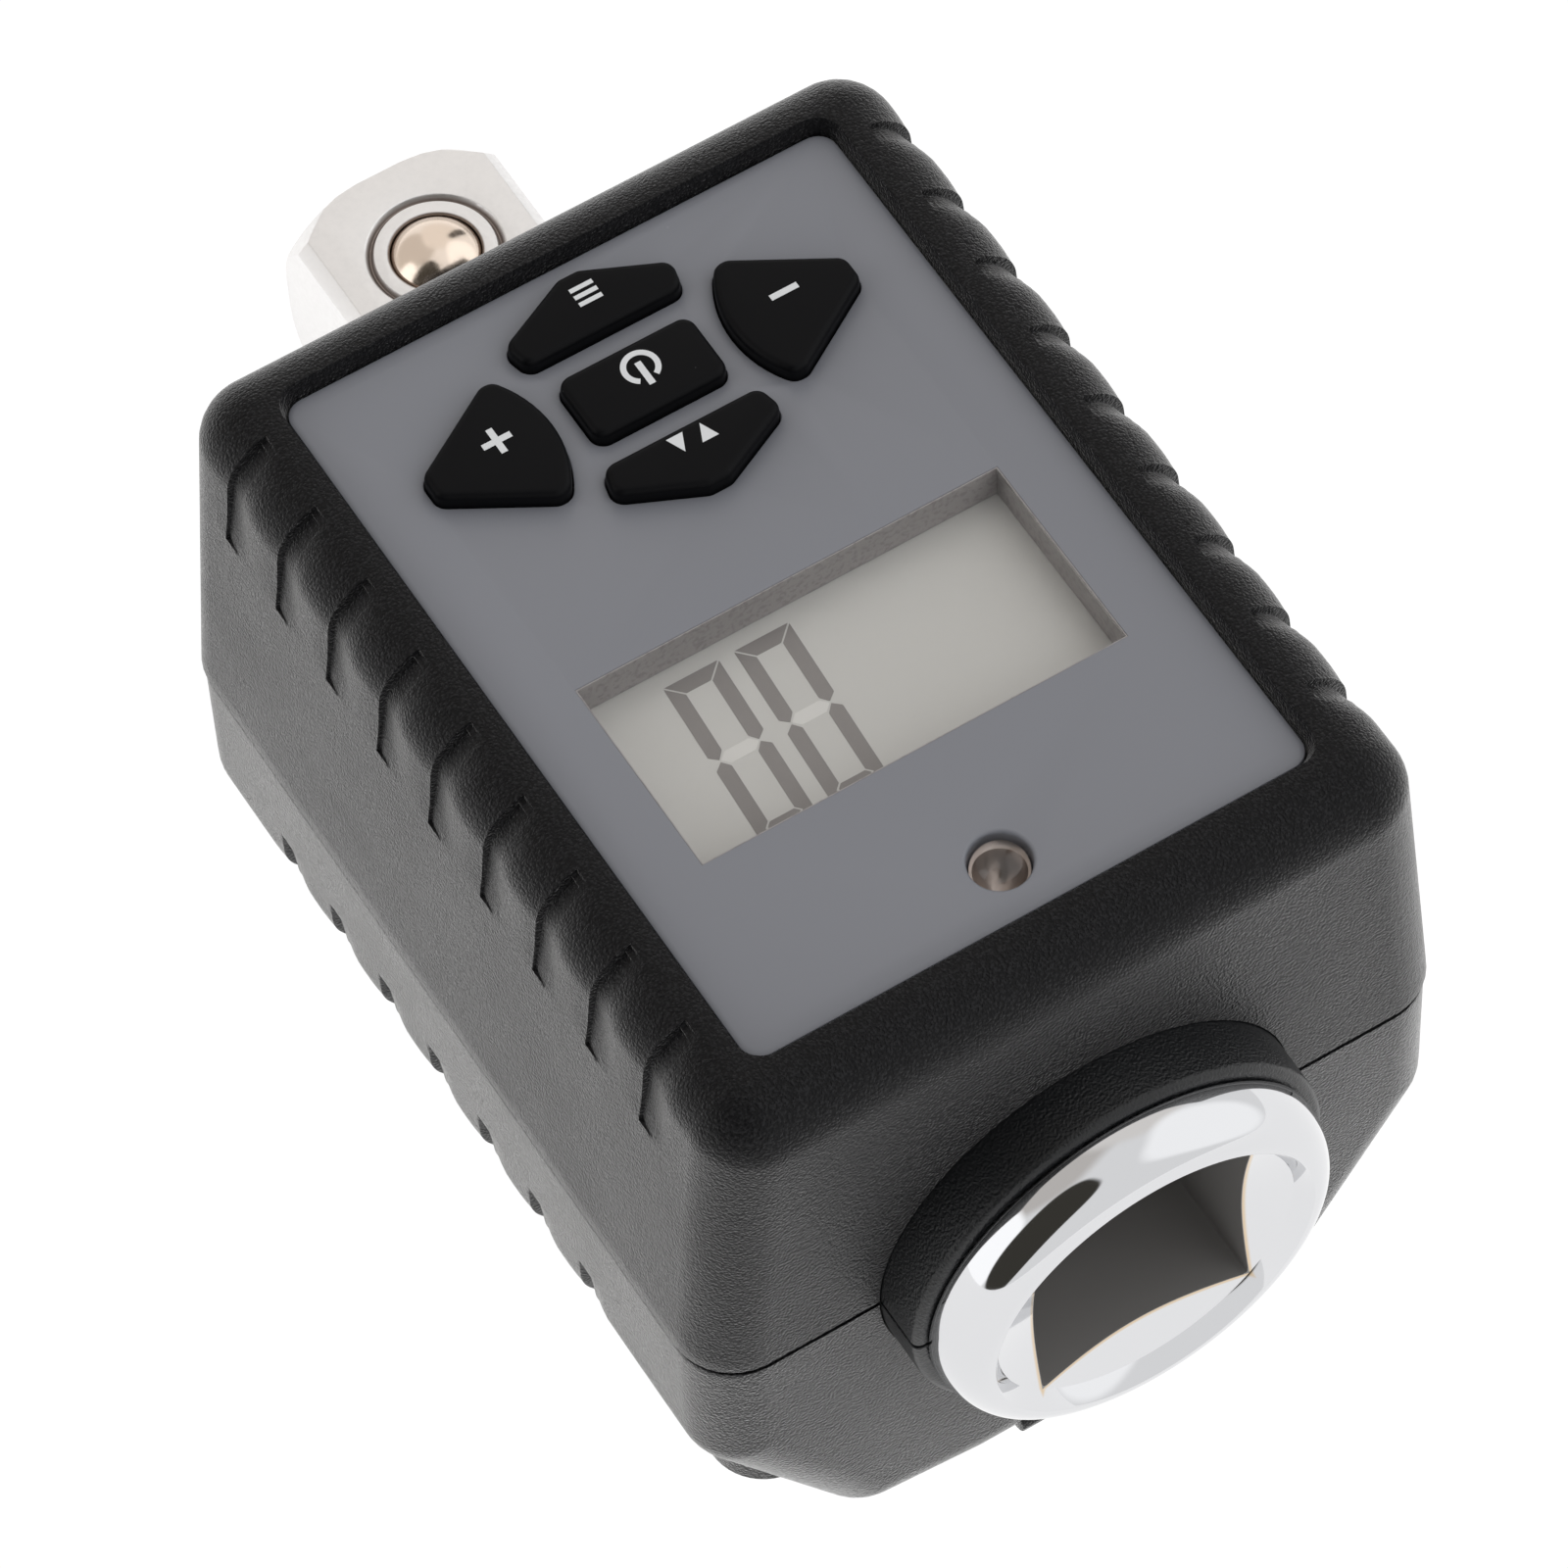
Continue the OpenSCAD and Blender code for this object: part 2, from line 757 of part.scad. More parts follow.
module socket_mouth() {
    along_y()
        translate([0, 0, lip])
            rotate_extrude($fn = 96)
                polygon([
                    [0, -over],
                    [mouth_r, -over],
                    [mouth_r, 0],
                    [corner_mouth_r, mouth_depth],
                    [socket_sq / 2, cone_depth],
                    [0, cone_depth]
                ]);
}

ball_z = drive_sq / 2 + ball_out - ball_r;
ball_lip_t = ball_out / 4;
ball_lip_r = sqrt(ball_r ^ 2 - (ball_r - ball_out - ball_lip_t) ^ 2) + seat;
spring_low = -ball_r;

// Stepped pocket whose lip holds the ball in, inside a ring-shaped groove on the face
module ball_pocket() {
    translate([0, ball_y, spring_low])
        cylinder(r = ball_r + fit, h = drive_sq / 2 - ball_lip_t - spring_low, $fn = 64);
    translate([0, ball_y, 0])
        cylinder(r = ball_lip_r, h = drive_sq, $fn = 64);
    translate([0, ball_y, drive_sq / 2 - ball_lip_t])
        cylinder(r1 = ball_lip_r, r2 = 2 * (ball_r + fit) - ball_lip_r, h = 2 * ball_lip_t, $fn = 64);
    translate([0, ball_y, drive_sq / 2 - ball_lip_t])
        difference() {
            cylinder(r = ball_r * 1.42, h = over, $fn = 64);
            translate([0, 0, -over])
                cylinder(r = ball_r * 1.27, h = 3 * over, $fn = 64);
        }
}

module torque_shaft() {
    color([0.82, 0.82, 0.84])
        place()
            difference() {
                union() {
                    along_y()
                        rotate_extrude($fn = 96)
                            shaft_section();
                    drive_bar();
                }
                socket_mouth();
                translate([0, lip + socket_depth / 2, 0])
                    cube([socket_sq, socket_depth, socket_sq], center = true);
                for (turn = [0 : 90 : 270])
                    rotate([0, turn, 0])
                        translate([0, lip + socket_depth * 0.56, 0])
                            cylinder(r = dimple_r, h = socket_sq / 2 + dimple_deep, $fn = 48);
                for (turn = [0 : 90 : 270])
                    rotate([0, turn, 0])
                        box(-neck_r, neck_r, gauge_y - gauge_span / 2, gauge_y + gauge_span / 2,
                            gauge_flat, neck_r + over);
                along_y()
                    translate([0, 0, ring_y])
                        difference() {
                            cylinder(r = journal_r + over, h = ring_t, $fn = 96);
                            translate([0, 0, -over])
                                cylinder(r = journal_r - ring_t, h = ring_t + 2 * over, $fn = 96);
                        }
                ball_pocket();
            }
}

// Spring clip in the journal's groove, open at the bottom
module retaining_ring() {
    color([0.35, 0.36, 0.38])
        place()
            difference() {
                along_y()
                    translate([0, 0, ring_y + seat])
                        difference() {
                            cylinder(r = head_r - seat * 4, h = ring_t - 2 * seat, $fn = 96);
                            translate([0, 0, -over])
                                cylinder(r = journal_r - ring_t + seat, h = ring_t + 2 * over, $fn = 96);
                        }
                box(-journal_r / 4, journal_r / 4, 0, half_l, -2 * head_r, 0);
            }
}

module detent_ball() {
    color([0.80, 0.74, 0.66])
        place()
            translate([0, ball_y, ball_z])
                sphere(r = ball_r, $fn = 96);
}

// Wound spring as one closed tube from z = 0 to z = h
module coil(r_low, r_high, h, turns, wire_r, sides, rings) {
    n = rings * turns;
    points = [
        for (i = [0 : n])
            let (
                a = 360 * i / rings,
                r = r_low + (r_high - r_low) * i / n,
                z = wire_r + (h - 2 * wire_r) * i / n
            )
            for (j = [0 : sides - 1])
                let (b = 360 * j / sides)
                [
                    (r + wire_r * cos(b)) * cos(a),
                    (r + wire_r * cos(b)) * sin(a),
                    z + wire_r * sin(b)
                ]
    ];
    skin = [
        for (i = [0 : n - 1], j = [0 : sides - 1])
            let (
                k = (j + 1) % sides,
                p = i * sides + j,
                q = i * sides + k
            )
            each [[p, q, q + sides], [p, q + sides, p + sides]]
    ];
    start = [for (j = [1 : sides - 2]) [0, j + 1, j]];
    end = [for (j = [1 : sides - 2]) [n * sides, n * sides + j, n * sides + j + 1]];
    polyhedron(points = points, faces = concat(skin, start, end), convexity = 10);
}

module detent_spring() {
    wire = ball_r / 11;
    h = ball_z - ball_r - spring_low - 2 * seat;
    color([0.60, 0.61, 0.63])
        place()
            translate([0, ball_y, spring_low + seat])
                coil(ball_r * 0.72, ball_r * 0.72, h, 4, wire, 6, 16);
}

// Four foil gauges on the neck's flats, and the four wires from the upper one to the board
gauge_t = seat * 3;
gauge_w = neck_r * 0.7;
gauge_l = neck_r * 0.9;
lead_r = seat * 5;

module strain_gauges() {
    color([0.78, 0.55, 0.25])
        place()
            for (turn = [0 : 90 : 270])
                rotate([0, turn, 0])
                    translate([0, gauge_y, gauge_flat + gauge_t / 2])
                        cube([gauge_w, gauge_l, gauge_t], center = true);
}

module gauge_leads() {
    color([0.75, 0.12, 0.10])
        place()
            for (k = [0 : 3])
                translate([(k - 1.5) * lead_r * 4, gauge_y, gauge_flat + gauge_t + seat / 2])
                    cylinder(r = lead_r, h = board_low - gauge_flat - gauge_t - seat, $fn = 24);
}

// Panel, its adhesive sheet, and the clear window
module panel_plate() {
    color([0.50, 0.51, 0.53])
        place()
            difference() {
                at_panel()
                    slab(panel_w, panel_l, panel_low, panel_top, panel_r);
                at_window()
                    slab(window_w, window_l, panel_low - over, panel_top + over);
                translate([0, 0, panel_low - over])
                    linear_extrude(panel_t + 2 * over)
                        key_outlines(key_gap);
                translate([0, lamp_place, panel_low - over])
                    cylinder(r = lamp_hole_r, h = panel_t + 2 * over, $fn = 48);
            }
}

module panel_tape() {
    color([0.20, 0.20, 0.20])
        place()
            difference() {
                at_panel()
                    slab(panel_w - 2 * clear, panel_l - 2 * clear, recess_z, panel_low, panel_r);
                at_window()
                    slab(boss_w + 2 * seat, boss_l + 2 * seat, recess_z - over, panel_low + over);
                translate([0, 0, recess_z - over])
                    linear_extrude(tape_t + 2 * over)
                        key_outlines(key_gap);
                translate([0, lamp_place, recess_z - over])
                    cylinder(r = lamp_hole_r + clear, h = tape_t + 2 * over, $fn = 48);
            }
}

module display_window() {
    color([0.85, 0.88, 0.90, 0.35])
        place()
            at_window()
                slab(window_w - 2 * seat, window_l - 2 * seat, panel_low, panel_top - seat);
}

// Display frame: a boss through the roof, and a pocket that holds the glass on the board
module display_bezel() {
    color([0.42, 0.39, 0.37])
        place()
            at_window()
                difference() {
                    union() {
                        slab(bezel_w, bezel_l, board_top + seat, ceiling - seat);
                        slab(boss_w, boss_l, board_top + seat, panel_low - seat);
                    }
                    slab(window_w, window_l, board_low, panel_top);
                    slab(glass_w + 2 * seat, glass_l + 2 * seat, board_low, glass_top);
                }
}

module display_glass() {
    color([0.70, 0.69, 0.66])
        place()
            at_window()
                slab(glass_w, glass_l, glass_top - seat - glass_t, glass_top - seat);
}

module display_reflector() {
    color([0.80, 0.80, 0.78])
        place()
            at_window()
                slab(glass_w, window_l, board_top + strip_h / 2, board_top + strip_h);
}

module contact_strips() {
    color([0.85, 0.55, 0.60])
        place()
            at_window()
                for (sy = [-1, 1])
                    translate([0, sy * (window_l + glass_l) / 4, 0])
                        slab(glass_w, wall * 0.7, board_top + seat / 2, board_top + strip_h + seat / 2);
}

// Signal lamp: domed lens on a collar, with two legs down to the board
lamp_r = lamp_hole_r - seat * 3;
lamp_flange_z = ceiling - roof_t;

module signal_lamp() {
    dome_z = panel_top + lamp_out - lamp_r;
    color([0.55, 0.48, 0.42, 0.8])
        place()
            translate([0, lamp_place, 0]) {
                translate([0, 0, dome_z])
                    sphere(r = lamp_r, $fn = 64);
                translate([0, 0, lamp_flange_z])
                    cylinder(r = lamp_r, h = dome_z - lamp_flange_z, $fn = 64);
                translate([0, 0, lamp_flange_z])
                    cylinder(r = lamp_hole_r + clear, h = roof_t / 2, $fn = 64);
                for (sx = [-1, 1])
                    translate([sx * lamp_r / 2, 0, board_top + seat])
                        cylinder(r = lead_r, h = lamp_flange_z - board_top, $fn = 24);
            }
}

// Keys: a cap with a bevelled edge, and a flange and stem under the roof
key_top = panel_top + key_out;
key_bevel = key_out * 0.3;
flange_z = ceiling - seat * 2;
key_flange_t = roof_t * 0.5;
key_flange_out = key_gap + clear * 0.7;
dome_h = key_travel * 0.6;
stem_low = board_top + dome_h + key_travel + clear / 2;

module key(name) {
    color([0.05, 0.05, 0.055])
        place()
            translate([0, keypad_mid, 0]) {
                hull() {
                    translate([0, 0, flange_z - key_flange_t / 2])
                        linear_extrude(key_top - key_bevel - flange_z + key_flange_t / 2)
                            key_outline(name);
                    translate([0, 0, flange_z])
                        linear_extrude(key_top - flange_z)
                            offset(delta = -key_bevel)
                                key_outline(name);
                }
                translate([0, 0, flange_z - key_flange_t])
                    linear_extrude(key_flange_t)
                        offset(delta = key_flange_out)
                            key_outline(name);
                translate([0, 0, stem_low])
                    linear_extrude(flange_z - key_flange_t / 2 - stem_low)
                        offset(delta = -key_r)
                            key_outline(name);
            }
}

module key_plus() { key("plus"); }
module key_minus() { key("minus"); }
module key_menu() { key("menu"); }
module key_power() { key("power"); }
module key_mode() { key("mode"); }

// Rubber sheet on the board, with an opening round the stem of each key
mat_w = 2 * side_key_out + wall;
mat_l = 2 * (end_key_in + end_key_l) + wall / 4;
mat_t = wall / 2;

module keypad_mat() {
    color([0.08, 0.08, 0.085])
        place()
            difference() {
                translate([0, keypad_mid, 0])
                    slab(mat_w, mat_l, board_top + seat / 2, board_top + mat_t, key_r);
                translate([0, 0, board_top - over])
                    linear_extrude(mat_t + 2 * over)
                        key_outlines(clear - key_r);
            }
}

// Snap domes on the board, one under each key
side_key_mid = side_key_in + (side_key_out - side_key_in) * 0.45;
end_key_mid = end_key_in + end_key_l * 0.45;
domes_at = [[0, 0], [side_key_mid, 0], [-side_key_mid, 0], [0, end_key_mid], [0, -end_key_mid]];
dome_r = power_l * 0.28;

module key_domes() {
    color([0.75, 0.75, 0.76])
        place()
            for (p = domes_at)
                translate([p.x, keypad_mid + p.y, board_top + seat / 2])
                    cylinder(r1 = dome_r, r2 = dome_r * 0.6, h = dome_h, $fn = 48);
}

// Circuit board and what is soldered to it
board_front = -inner_end + seat * 4 + flange_t + 2 * clear;
board_rear = inner_end - 5 * clear;
board_notch = 2 * (upper_post_r + clear);
chip_w = panel_w * 0.24;
chip_t = board_t;

module circuit_board() {
    color([0.10, 0.33, 0.18])
        place()
            difference() {
                box(-board_w / 2, board_w / 2, board_front, board_rear, board_low, board_top);
                for (p = case_screws_at)
                    translate([p.x, p.y, board_low])
                        cube([board_notch, board_notch, 2 * board_t + over], center = true);
                for (p = board_screws_at)
                    translate([p.x, p.y, board_low - over])
                        cylinder(r = board_screw_r + 2 * seat, h = board_t + 2 * over, $fn = 32);
            }
}

module main_chip() {
    color([0.06, 0.06, 0.06])
        place()
            translate([-chip_w, window_mid, board_low - chip_t - seat / 2])
                linear_extrude(chip_t)
                    square(chip_w, center = true);
}

module buzzer() {
    color([0.07, 0.07, 0.08])
        place()
            translate([side_key_mid, keypad_mid, board_low - buzzer_h - seat / 2])
                difference() {
                    cylinder(r = buzzer_r, h = buzzer_h, $fn = 64);
                    translate([0, 0, -over])
                        cylinder(r = buzzer_r / 5, h = buzzer_h / 2 + over, $fn = 32);
                }
}

// Screws with a cross recess, drawn pointing up from the underside of the head
module screw(r, head_r, head_h, length) {
    difference() {
        union() {
            cylinder(r = r, h = length, $fn = 32);
            translate([0, 0, -head_h])
                cylinder(r = head_r, h = head_h, $fn = 48);
        }
        for (turn = [0, 90])
            rotate(turn)
                translate([0, 0, -head_h])
                    cube([head_r * 1.2, head_r * 0.25, head_h], center = true);
    }
}

module board_screws() {
    color([0.70, 0.70, 0.72])
        place()
            for (p = board_screws_at)
                translate([p.x, p.y, board_low - seat / 2])
                    screw(board_screw_r, board_post_r, board_t * 0.8, board_t + wall * 1.5);
}

module case_screws() {
    color([0.30, 0.30, 0.32])
        place()
            for (p = case_screws_at)
                translate([p.x, p.y, screw_seat_z - seat / 2])
                    screw(case_screw_r, screw_head_r, screw_head_h, case_screw_l);
}

// Battery tray: a roof, side walls, a middle rib and end walls over the two cells
cell_r = cell_d / 2;
cell_z = max(door_top_z, floor_z) + clear / 2 + cell_r;
tray_half = cell_pitch / 2 + cell_r + clear + tray_t;
tray_low = floor_z + seat * 2;
tray_end = low_inner_end - clear;
plate_t = wall * 0.15;
plate_y = tray_end - tray_t - seat - plate_t;
plate_half = cell_r * 0.8;
tab_end = tray_half + tray_t;
lead_x = tab_end + wall * 0.4;
lead_wire_r = wall * 0.25;

module battery_tray() {
    color([0.13, 0.13, 0.14])
        place()
            difference() {
                box(-tray_half, tray_half, -tray_end, tray_end, tray_low, tray_roof_z);
                for (sx = [-1, 1])
                    translate([sx * cell_pitch / 2, 0, 0])
                        box(-cell_r - clear / 2, cell_r + clear / 2,
                            -tray_end + tray_t, tray_end - tray_t,
                            -belly_h, tray_roof_z - tray_t);
                for (sx = [-1, 1])
                    translate([sx * tray_half, 0, 0])
                        box(-2 * tray_t, 2 * tray_t, plate_y - seat, plate_y + plate_t + seat,
                            cell_z - plate_half / 2, cell_z + plate_half / 2);
            }
}

// A cell from its flat end at y = 0 to the tip of its nub
nub_l = cell_d * 0.09;
nub_r = cell_d * 0.18;

module cell() {
    along_y() {
        cylinder(r = cell_r, h = cell_l - nub_l, $fn = 64);
        cylinder(r = nub_r, h = cell_l, $fn = 32);
    }
}

cell_start = plate_y - seat - cell_l;

module cell_left() {
    color([0.16, 0.34, 0.52])
        place()
            translate([-cell_pitch / 2, cell_start, cell_z])
                cell();
}

module cell_right() {
    color([0.16, 0.34, 0.52])
        place()
            translate([cell_pitch / 2, -cell_start, cell_z])
                rotate(180)
                    cell();
}

// Four contact plates at the ends of the cells; the rear pair has tabs for the leads
module contact_plates() {
    color([0.80, 0.78, 0.70])
        place() {
            for (sx = [-1, 1], sy = [-1, 1])
                translate([sx * cell_pitch / 2, sy * (plate_y + plate_t / 2), cell_z])
                    cube([2 * plate_half, plate_t, 2 * plate_half], center = true);
            both_sides()
                box(cell_pitch / 2, tab_end, plate_y, plate_y + plate_t,
                    cell_z - plate_half / 3, cell_z + plate_half / 3);
        }
}

module contact_springs() {
    h = plate_y - seat + cell_start - seat;
    color([0.75, 0.74, 0.70])
        place()
            for (side = [-1, 1])
                translate([side * cell_pitch / 2, side * (plate_y - seat), cell_z])
                    rotate([side * 90, 0, 0])
                        coil(cell_r * 0.62, cell_r * 0.38, h, 3, cell_r / 22, 6, 16);
}

// Leads from the rear contacts up past the bush and in under the board
lead_y = plate_y + plate_t / 2;
lead_turn_z = board_low - clear - 2 * lead_wire_r;
lead_in_y = board_rear - 2 * lead_wire_r;

module wire_to(length) {
    cylinder(r = lead_wire_r, h = length, $fn = 24);
    translate([0, 0, length])
        sphere(r = lead_wire_r, $fn = 24);
}

module battery_leads() {
    color([0.70, 0.10, 0.10])
        place()
            for (sx = [-1, 1])
                translate([sx * lead_x, lead_y, cell_z]) {
                    sphere(r = lead_wire_r, $fn = 24);
                    rotate([0, -sx * 90, 0])
                        cylinder(r = plate_t / 2, h = lead_x - tab_end - seat, $fn = 24);
                    wire_to(lead_turn_z - cell_z);
                    translate([0, 0, lead_turn_z - cell_z])
                        rotate([90, 0, 0])
                            wire_to(lead_y - lead_in_y);
                    translate([0, lead_in_y - lead_y, lead_turn_z - cell_z])
                        cylinder(r = lead_wire_r, h = board_low - lead_turn_z - seat, $fn = 24);
                }
}

// Battery door: follows the belly, turns on a pin at its rear edge, latches at the front
module battery_door() {
    half = door_w / 2;
    color([0.10, 0.10, 0.11])
        place() {
            intersection() {
                translate([0, 0, door_inset])
                    lower_form();
                union() {
                    box(-half, half, door_front_y, door_rear_y, -2 * belly_h, door_top_z);
                    box(-latch_w / 2, latch_w / 2, -2 * body_l, door_front_y + over,
                        -2 * belly_h, door_top_z);
                    box(-knuckle_half, knuckle_half, door_rear_y - over, hinge_y,
                        -2 * belly_h, door_top_z);
                }
            }
            translate([0, hinge_y, hinge_z])
                rotate([0, 90, 0]) {
                    cylinder(r = knuckle_r, h = 2 * knuckle_half, center = true, $fn = 48);
                    cylinder(r = hinge_pin_r, h = 2 * hinge_pin_half, center = true, $fn = 32);
                }
            translate([0, ridge_y, ridge_z])
                rotate([0, 90, 0])
                    cylinder(r = ridge_r, h = latch_w, center = true, $fn = 48);
        }
}

upper_shell();
lower_shell();
collar_upper();
collar_lower();
rear_bush();
torque_shaft();
retaining_ring();
detent_ball();
detent_spring();
strain_gauges();
gauge_leads();
panel_plate();
panel_tape();
display_window();
display_bezel();
display_glass();
display_reflector();
contact_strips();
signal_lamp();
key_plus();
key_minus();
key_menu();
key_power();
key_mode();
keypad_mat();
key_domes();
circuit_board();
main_chip();
buzzer();
board_screws();
case_screws();
battery_tray();
cell_left();
cell_right();
contact_plates();
contact_springs();
battery_leads();
battery_door();
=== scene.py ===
import math

import bmesh
import bpy
from bpy.props import FloatProperty, FloatVectorProperty, IntProperty, PointerProperty
from mathutils import Matrix, Vector


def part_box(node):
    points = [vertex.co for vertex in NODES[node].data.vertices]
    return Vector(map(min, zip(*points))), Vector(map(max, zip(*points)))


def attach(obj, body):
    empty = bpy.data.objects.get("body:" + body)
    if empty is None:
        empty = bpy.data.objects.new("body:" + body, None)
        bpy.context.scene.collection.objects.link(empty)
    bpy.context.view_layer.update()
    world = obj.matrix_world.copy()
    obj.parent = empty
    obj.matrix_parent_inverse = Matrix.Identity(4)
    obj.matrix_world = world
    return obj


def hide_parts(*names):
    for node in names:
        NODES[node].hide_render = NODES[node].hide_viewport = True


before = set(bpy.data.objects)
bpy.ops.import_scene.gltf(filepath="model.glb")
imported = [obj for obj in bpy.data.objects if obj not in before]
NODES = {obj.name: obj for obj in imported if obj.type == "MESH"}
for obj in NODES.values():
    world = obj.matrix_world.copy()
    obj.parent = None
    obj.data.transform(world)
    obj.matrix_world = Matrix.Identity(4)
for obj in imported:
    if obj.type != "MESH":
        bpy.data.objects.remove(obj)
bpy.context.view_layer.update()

bl_info = {
    "name": "Digital torque adapter",
    "version": (1, 0, 0),
    "blender": (4, 5, 0),
    "location": "View3D > Sidebar > Adapter",
    "description": "Looks of a square-drive torque adapter with a keypad and a display",
    "category": "Mesh",
}

MM = 0.001
LEVEL = 0.001 * MM      # points closer than this lie at one level
NEAR = 0.002 * MM       # points closer than this are one point
FINE = 160              # sides of the round pieces that show most
SHARP = 1.0             # radians between two faces that meet at a sharp edge

# The pieces are drawn about the middle of the body on the drive axis
SHELL_LOW, SHELL_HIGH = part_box("upper_shell")
SHAFT_LOW, SHAFT_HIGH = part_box("torque_shaft")
PANEL_LOW, PANEL_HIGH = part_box("panel_plate")
MIDDLE = Vector((0, (SHELL_LOW.y + SHELL_HIGH.y) / 2, (SHAFT_LOW.z + SHAFT_HIGH.z) / 2))


# ---------------------------------------------------------------- sizes and colours

def length(name, text, value):
    return FloatProperty(name=name, description=text, default=value, unit="LENGTH", precision=5)


def colour(name, text, value):
    return FloatVectorProperty(
        name=name, description=text, default=value, size=4, min=0, max=1, subtype="COLOR")


class BodySizes(bpy.types.PropertyGroup):
    half_width: length("Half width", "Half the width at the parting line", SHELL_HIGH.x)
    half_length: length("Half length", "Half the length of the body", (SHELL_HIGH.y - SHELL_LOW.y) / 2)
    rim: length("Rim height", "Height of the rim above the drive axis", SHELL_HIGH.z - MIDDLE.z)
    belly: length("Belly depth", "Depth of the belly below the drive axis", MIDDLE.z)
    lean: length("Side lean", "How far the side walls lean in", 1.75 * MM)
    edge: length("Edge radius", "Radius of the body's edges", 3.5 * MM)
    wall: length("Wall", "Thickness of the shells", 2 * MM)
    seam: length("Seam", "Gap between the shells", 0.25 * MM)
    step: length("Seam step", "How far the upper shell stands over the lower one", 0.15 * MM)
    seam_round: length("Seam rounding", "Rounding of the edges at the seam", 0.08 * MM)
    seam_open: length("Seam opening", "Extra height of the joint line seen from outside", 0.16 * MM)
    flank_top: length("Flank edge", "Depth where the wall turns into the flank", 9.8 * MM)
    flank_slope: FloatProperty(
        name="Flank slope", description="Steepness of the flank", default=math.radians(58.5), subtype="ANGLE")
    belly_flat: length("Belly flat", "Half width of the flat of the belly", 6.5 * MM)
    belly_bow: length("Belly bow", "How far the belly rises to the flanks", 0.8 * MM)
    collar: length("Collar radius", "Radius of the collar", 12.65 * MM)
    bush: length("Bush radius", "Radius of the rear bush", 11.3 * MM)


class GripSizes(bpy.types.PropertyGroup):
    pitch: length("Pitch", "Distance between the grooves", 5.28 * MM)
    width: length("Width", "Width of a groove", 1.3 * MM)
    deep: length("Depth", "Depth of an upper groove in its middle", 0.56 * MM)
    shelf: length("Shelf", "Depth of the step at the inner end of an upper groove", 0.26 * MM)
    upper_y: length("Upper middle", "Middle of the upper row", 0.7 * MM)
    lower_y: length("Lower middle", "Middle of the lower row", 1.45 * MM)
    inner_x: length("Inner end", "Where an upper groove starts on the rim", 18.6 * MM)
    tip_z: length("Lower tip", "Height of the lower tip above the drive axis", 15.5 * MM)
    lower_up: length("Lower reach up", "How far a lower groove reaches up the wall", 2.9 * MM)
    lower_down: length("Lower reach down", "How far a lower groove reaches down the flank", 4.6 * MM)
    lower_deep: length("Lower depth", "Depth of a lower groove", 1.0 * MM)
    swell: length("Swell", "How far the body swells between two grooves", 0.26 * MM)
    upper_count: IntProperty(name="Upper grooves", description="Grooves along each upper edge", default=9)
    lower_count: IntProperty(name="Lower grooves", description="Grooves along each lower edge", default=7)


class PanelSizes(bpy.types.PropertyGroup):
    half_width: length("Half width", "Half the width of the panel", PANEL_HIGH.x)
    half_length: length("Half length", "Half the length of the panel", (PANEL_HIGH.y - PANEL_LOW.y) / 2)
    middle: length("Middle", "Middle of the panel", (PANEL_HIGH.y + PANEL_LOW.y) / 2 - MIDDLE.y)
    top: length("Top", "Height of the panel above the drive axis", PANEL_HIGH.z - MIDDLE.z)
    thick: length("Thickness", "Thickness of the panel", PANEL_HIGH.z - PANEL_LOW.z)
    corner: length("Corner", "Corner radius of the panel", 1.2 * MM)
    rim_bevel: length("Rim bevel", "Width of the slope round the panel", 0.32 * MM)
    rim_drop: length("Rim drop", "Drop of the slope round the panel", 0.07 * MM)
    hole_bevel: length("Hole bevel", "Bevel round the openings", 0.09 * MM)
    window_width: length("Window width", "Half the width of the window", 12.85 * MM)
    window_length: length("Window length", "Half the length of the window", 6.3 * MM)
    window_y: length("Window middle", "Middle of the window", -5.7 * MM)
    display_drop: length("Display depth", "Depth of the display below the panel", 2.4 * MM)
    lamp_y: length("Lamp", "Place of the signal lamp", -19.9 * MM)
    lamp_radius: length("Lamp radius", "Radius of the lamp's hole", 1.72 * MM)
    keypad_y: length("Keypad", "Middle of the keypad", 15.0 * MM)
    key_corner: length("Key corner", "Corner radius of the keys", 0.8 * MM)
    key_bevel: length("Key rounding", "Rounding of the keys' upper edges", 0.42 * MM)
    key_rise: length("Key height", "How far the keys stand out", 1.0 * MM)


class DriveSizes(bpy.types.PropertyGroup):
    lip: length("Lip", "Front of the socket, from the middle of the body", SHAFT_LOW.y - MIDDLE.y)
    end: length("End", "End of the square drive, from the middle of the body", SHAFT_HIGH.y - MIDDLE.y)
    bead: length("Bead radius", "Radius of the polished bead", SHAFT_HIGH.x)
    bead_round: length("Bead rounding", "Rounding of the bead, across the axis", 1.95 * MM)
    bead_long: length("Bead length", "Rounding of the bead, along the axis", 3.1 * MM)
    collar_front: length("Collar front", "Front of the collar, before the body", 3.4 * MM)
    socket: length("Socket", "Half the socket across its flats", 6.45 * MM)
    square: length("Square", "Half the drive across its flats", 6.35 * MM)
    chamfer: length("Chamfer", "Flats along the drive's edges", 0.7 * MM)
    ball: length("Ball", "Radius of the sprung ball", 3.0 * MM)
    ball_back: length("Ball place", "From the ball's centre to the end of the drive", 6.4 * MM)


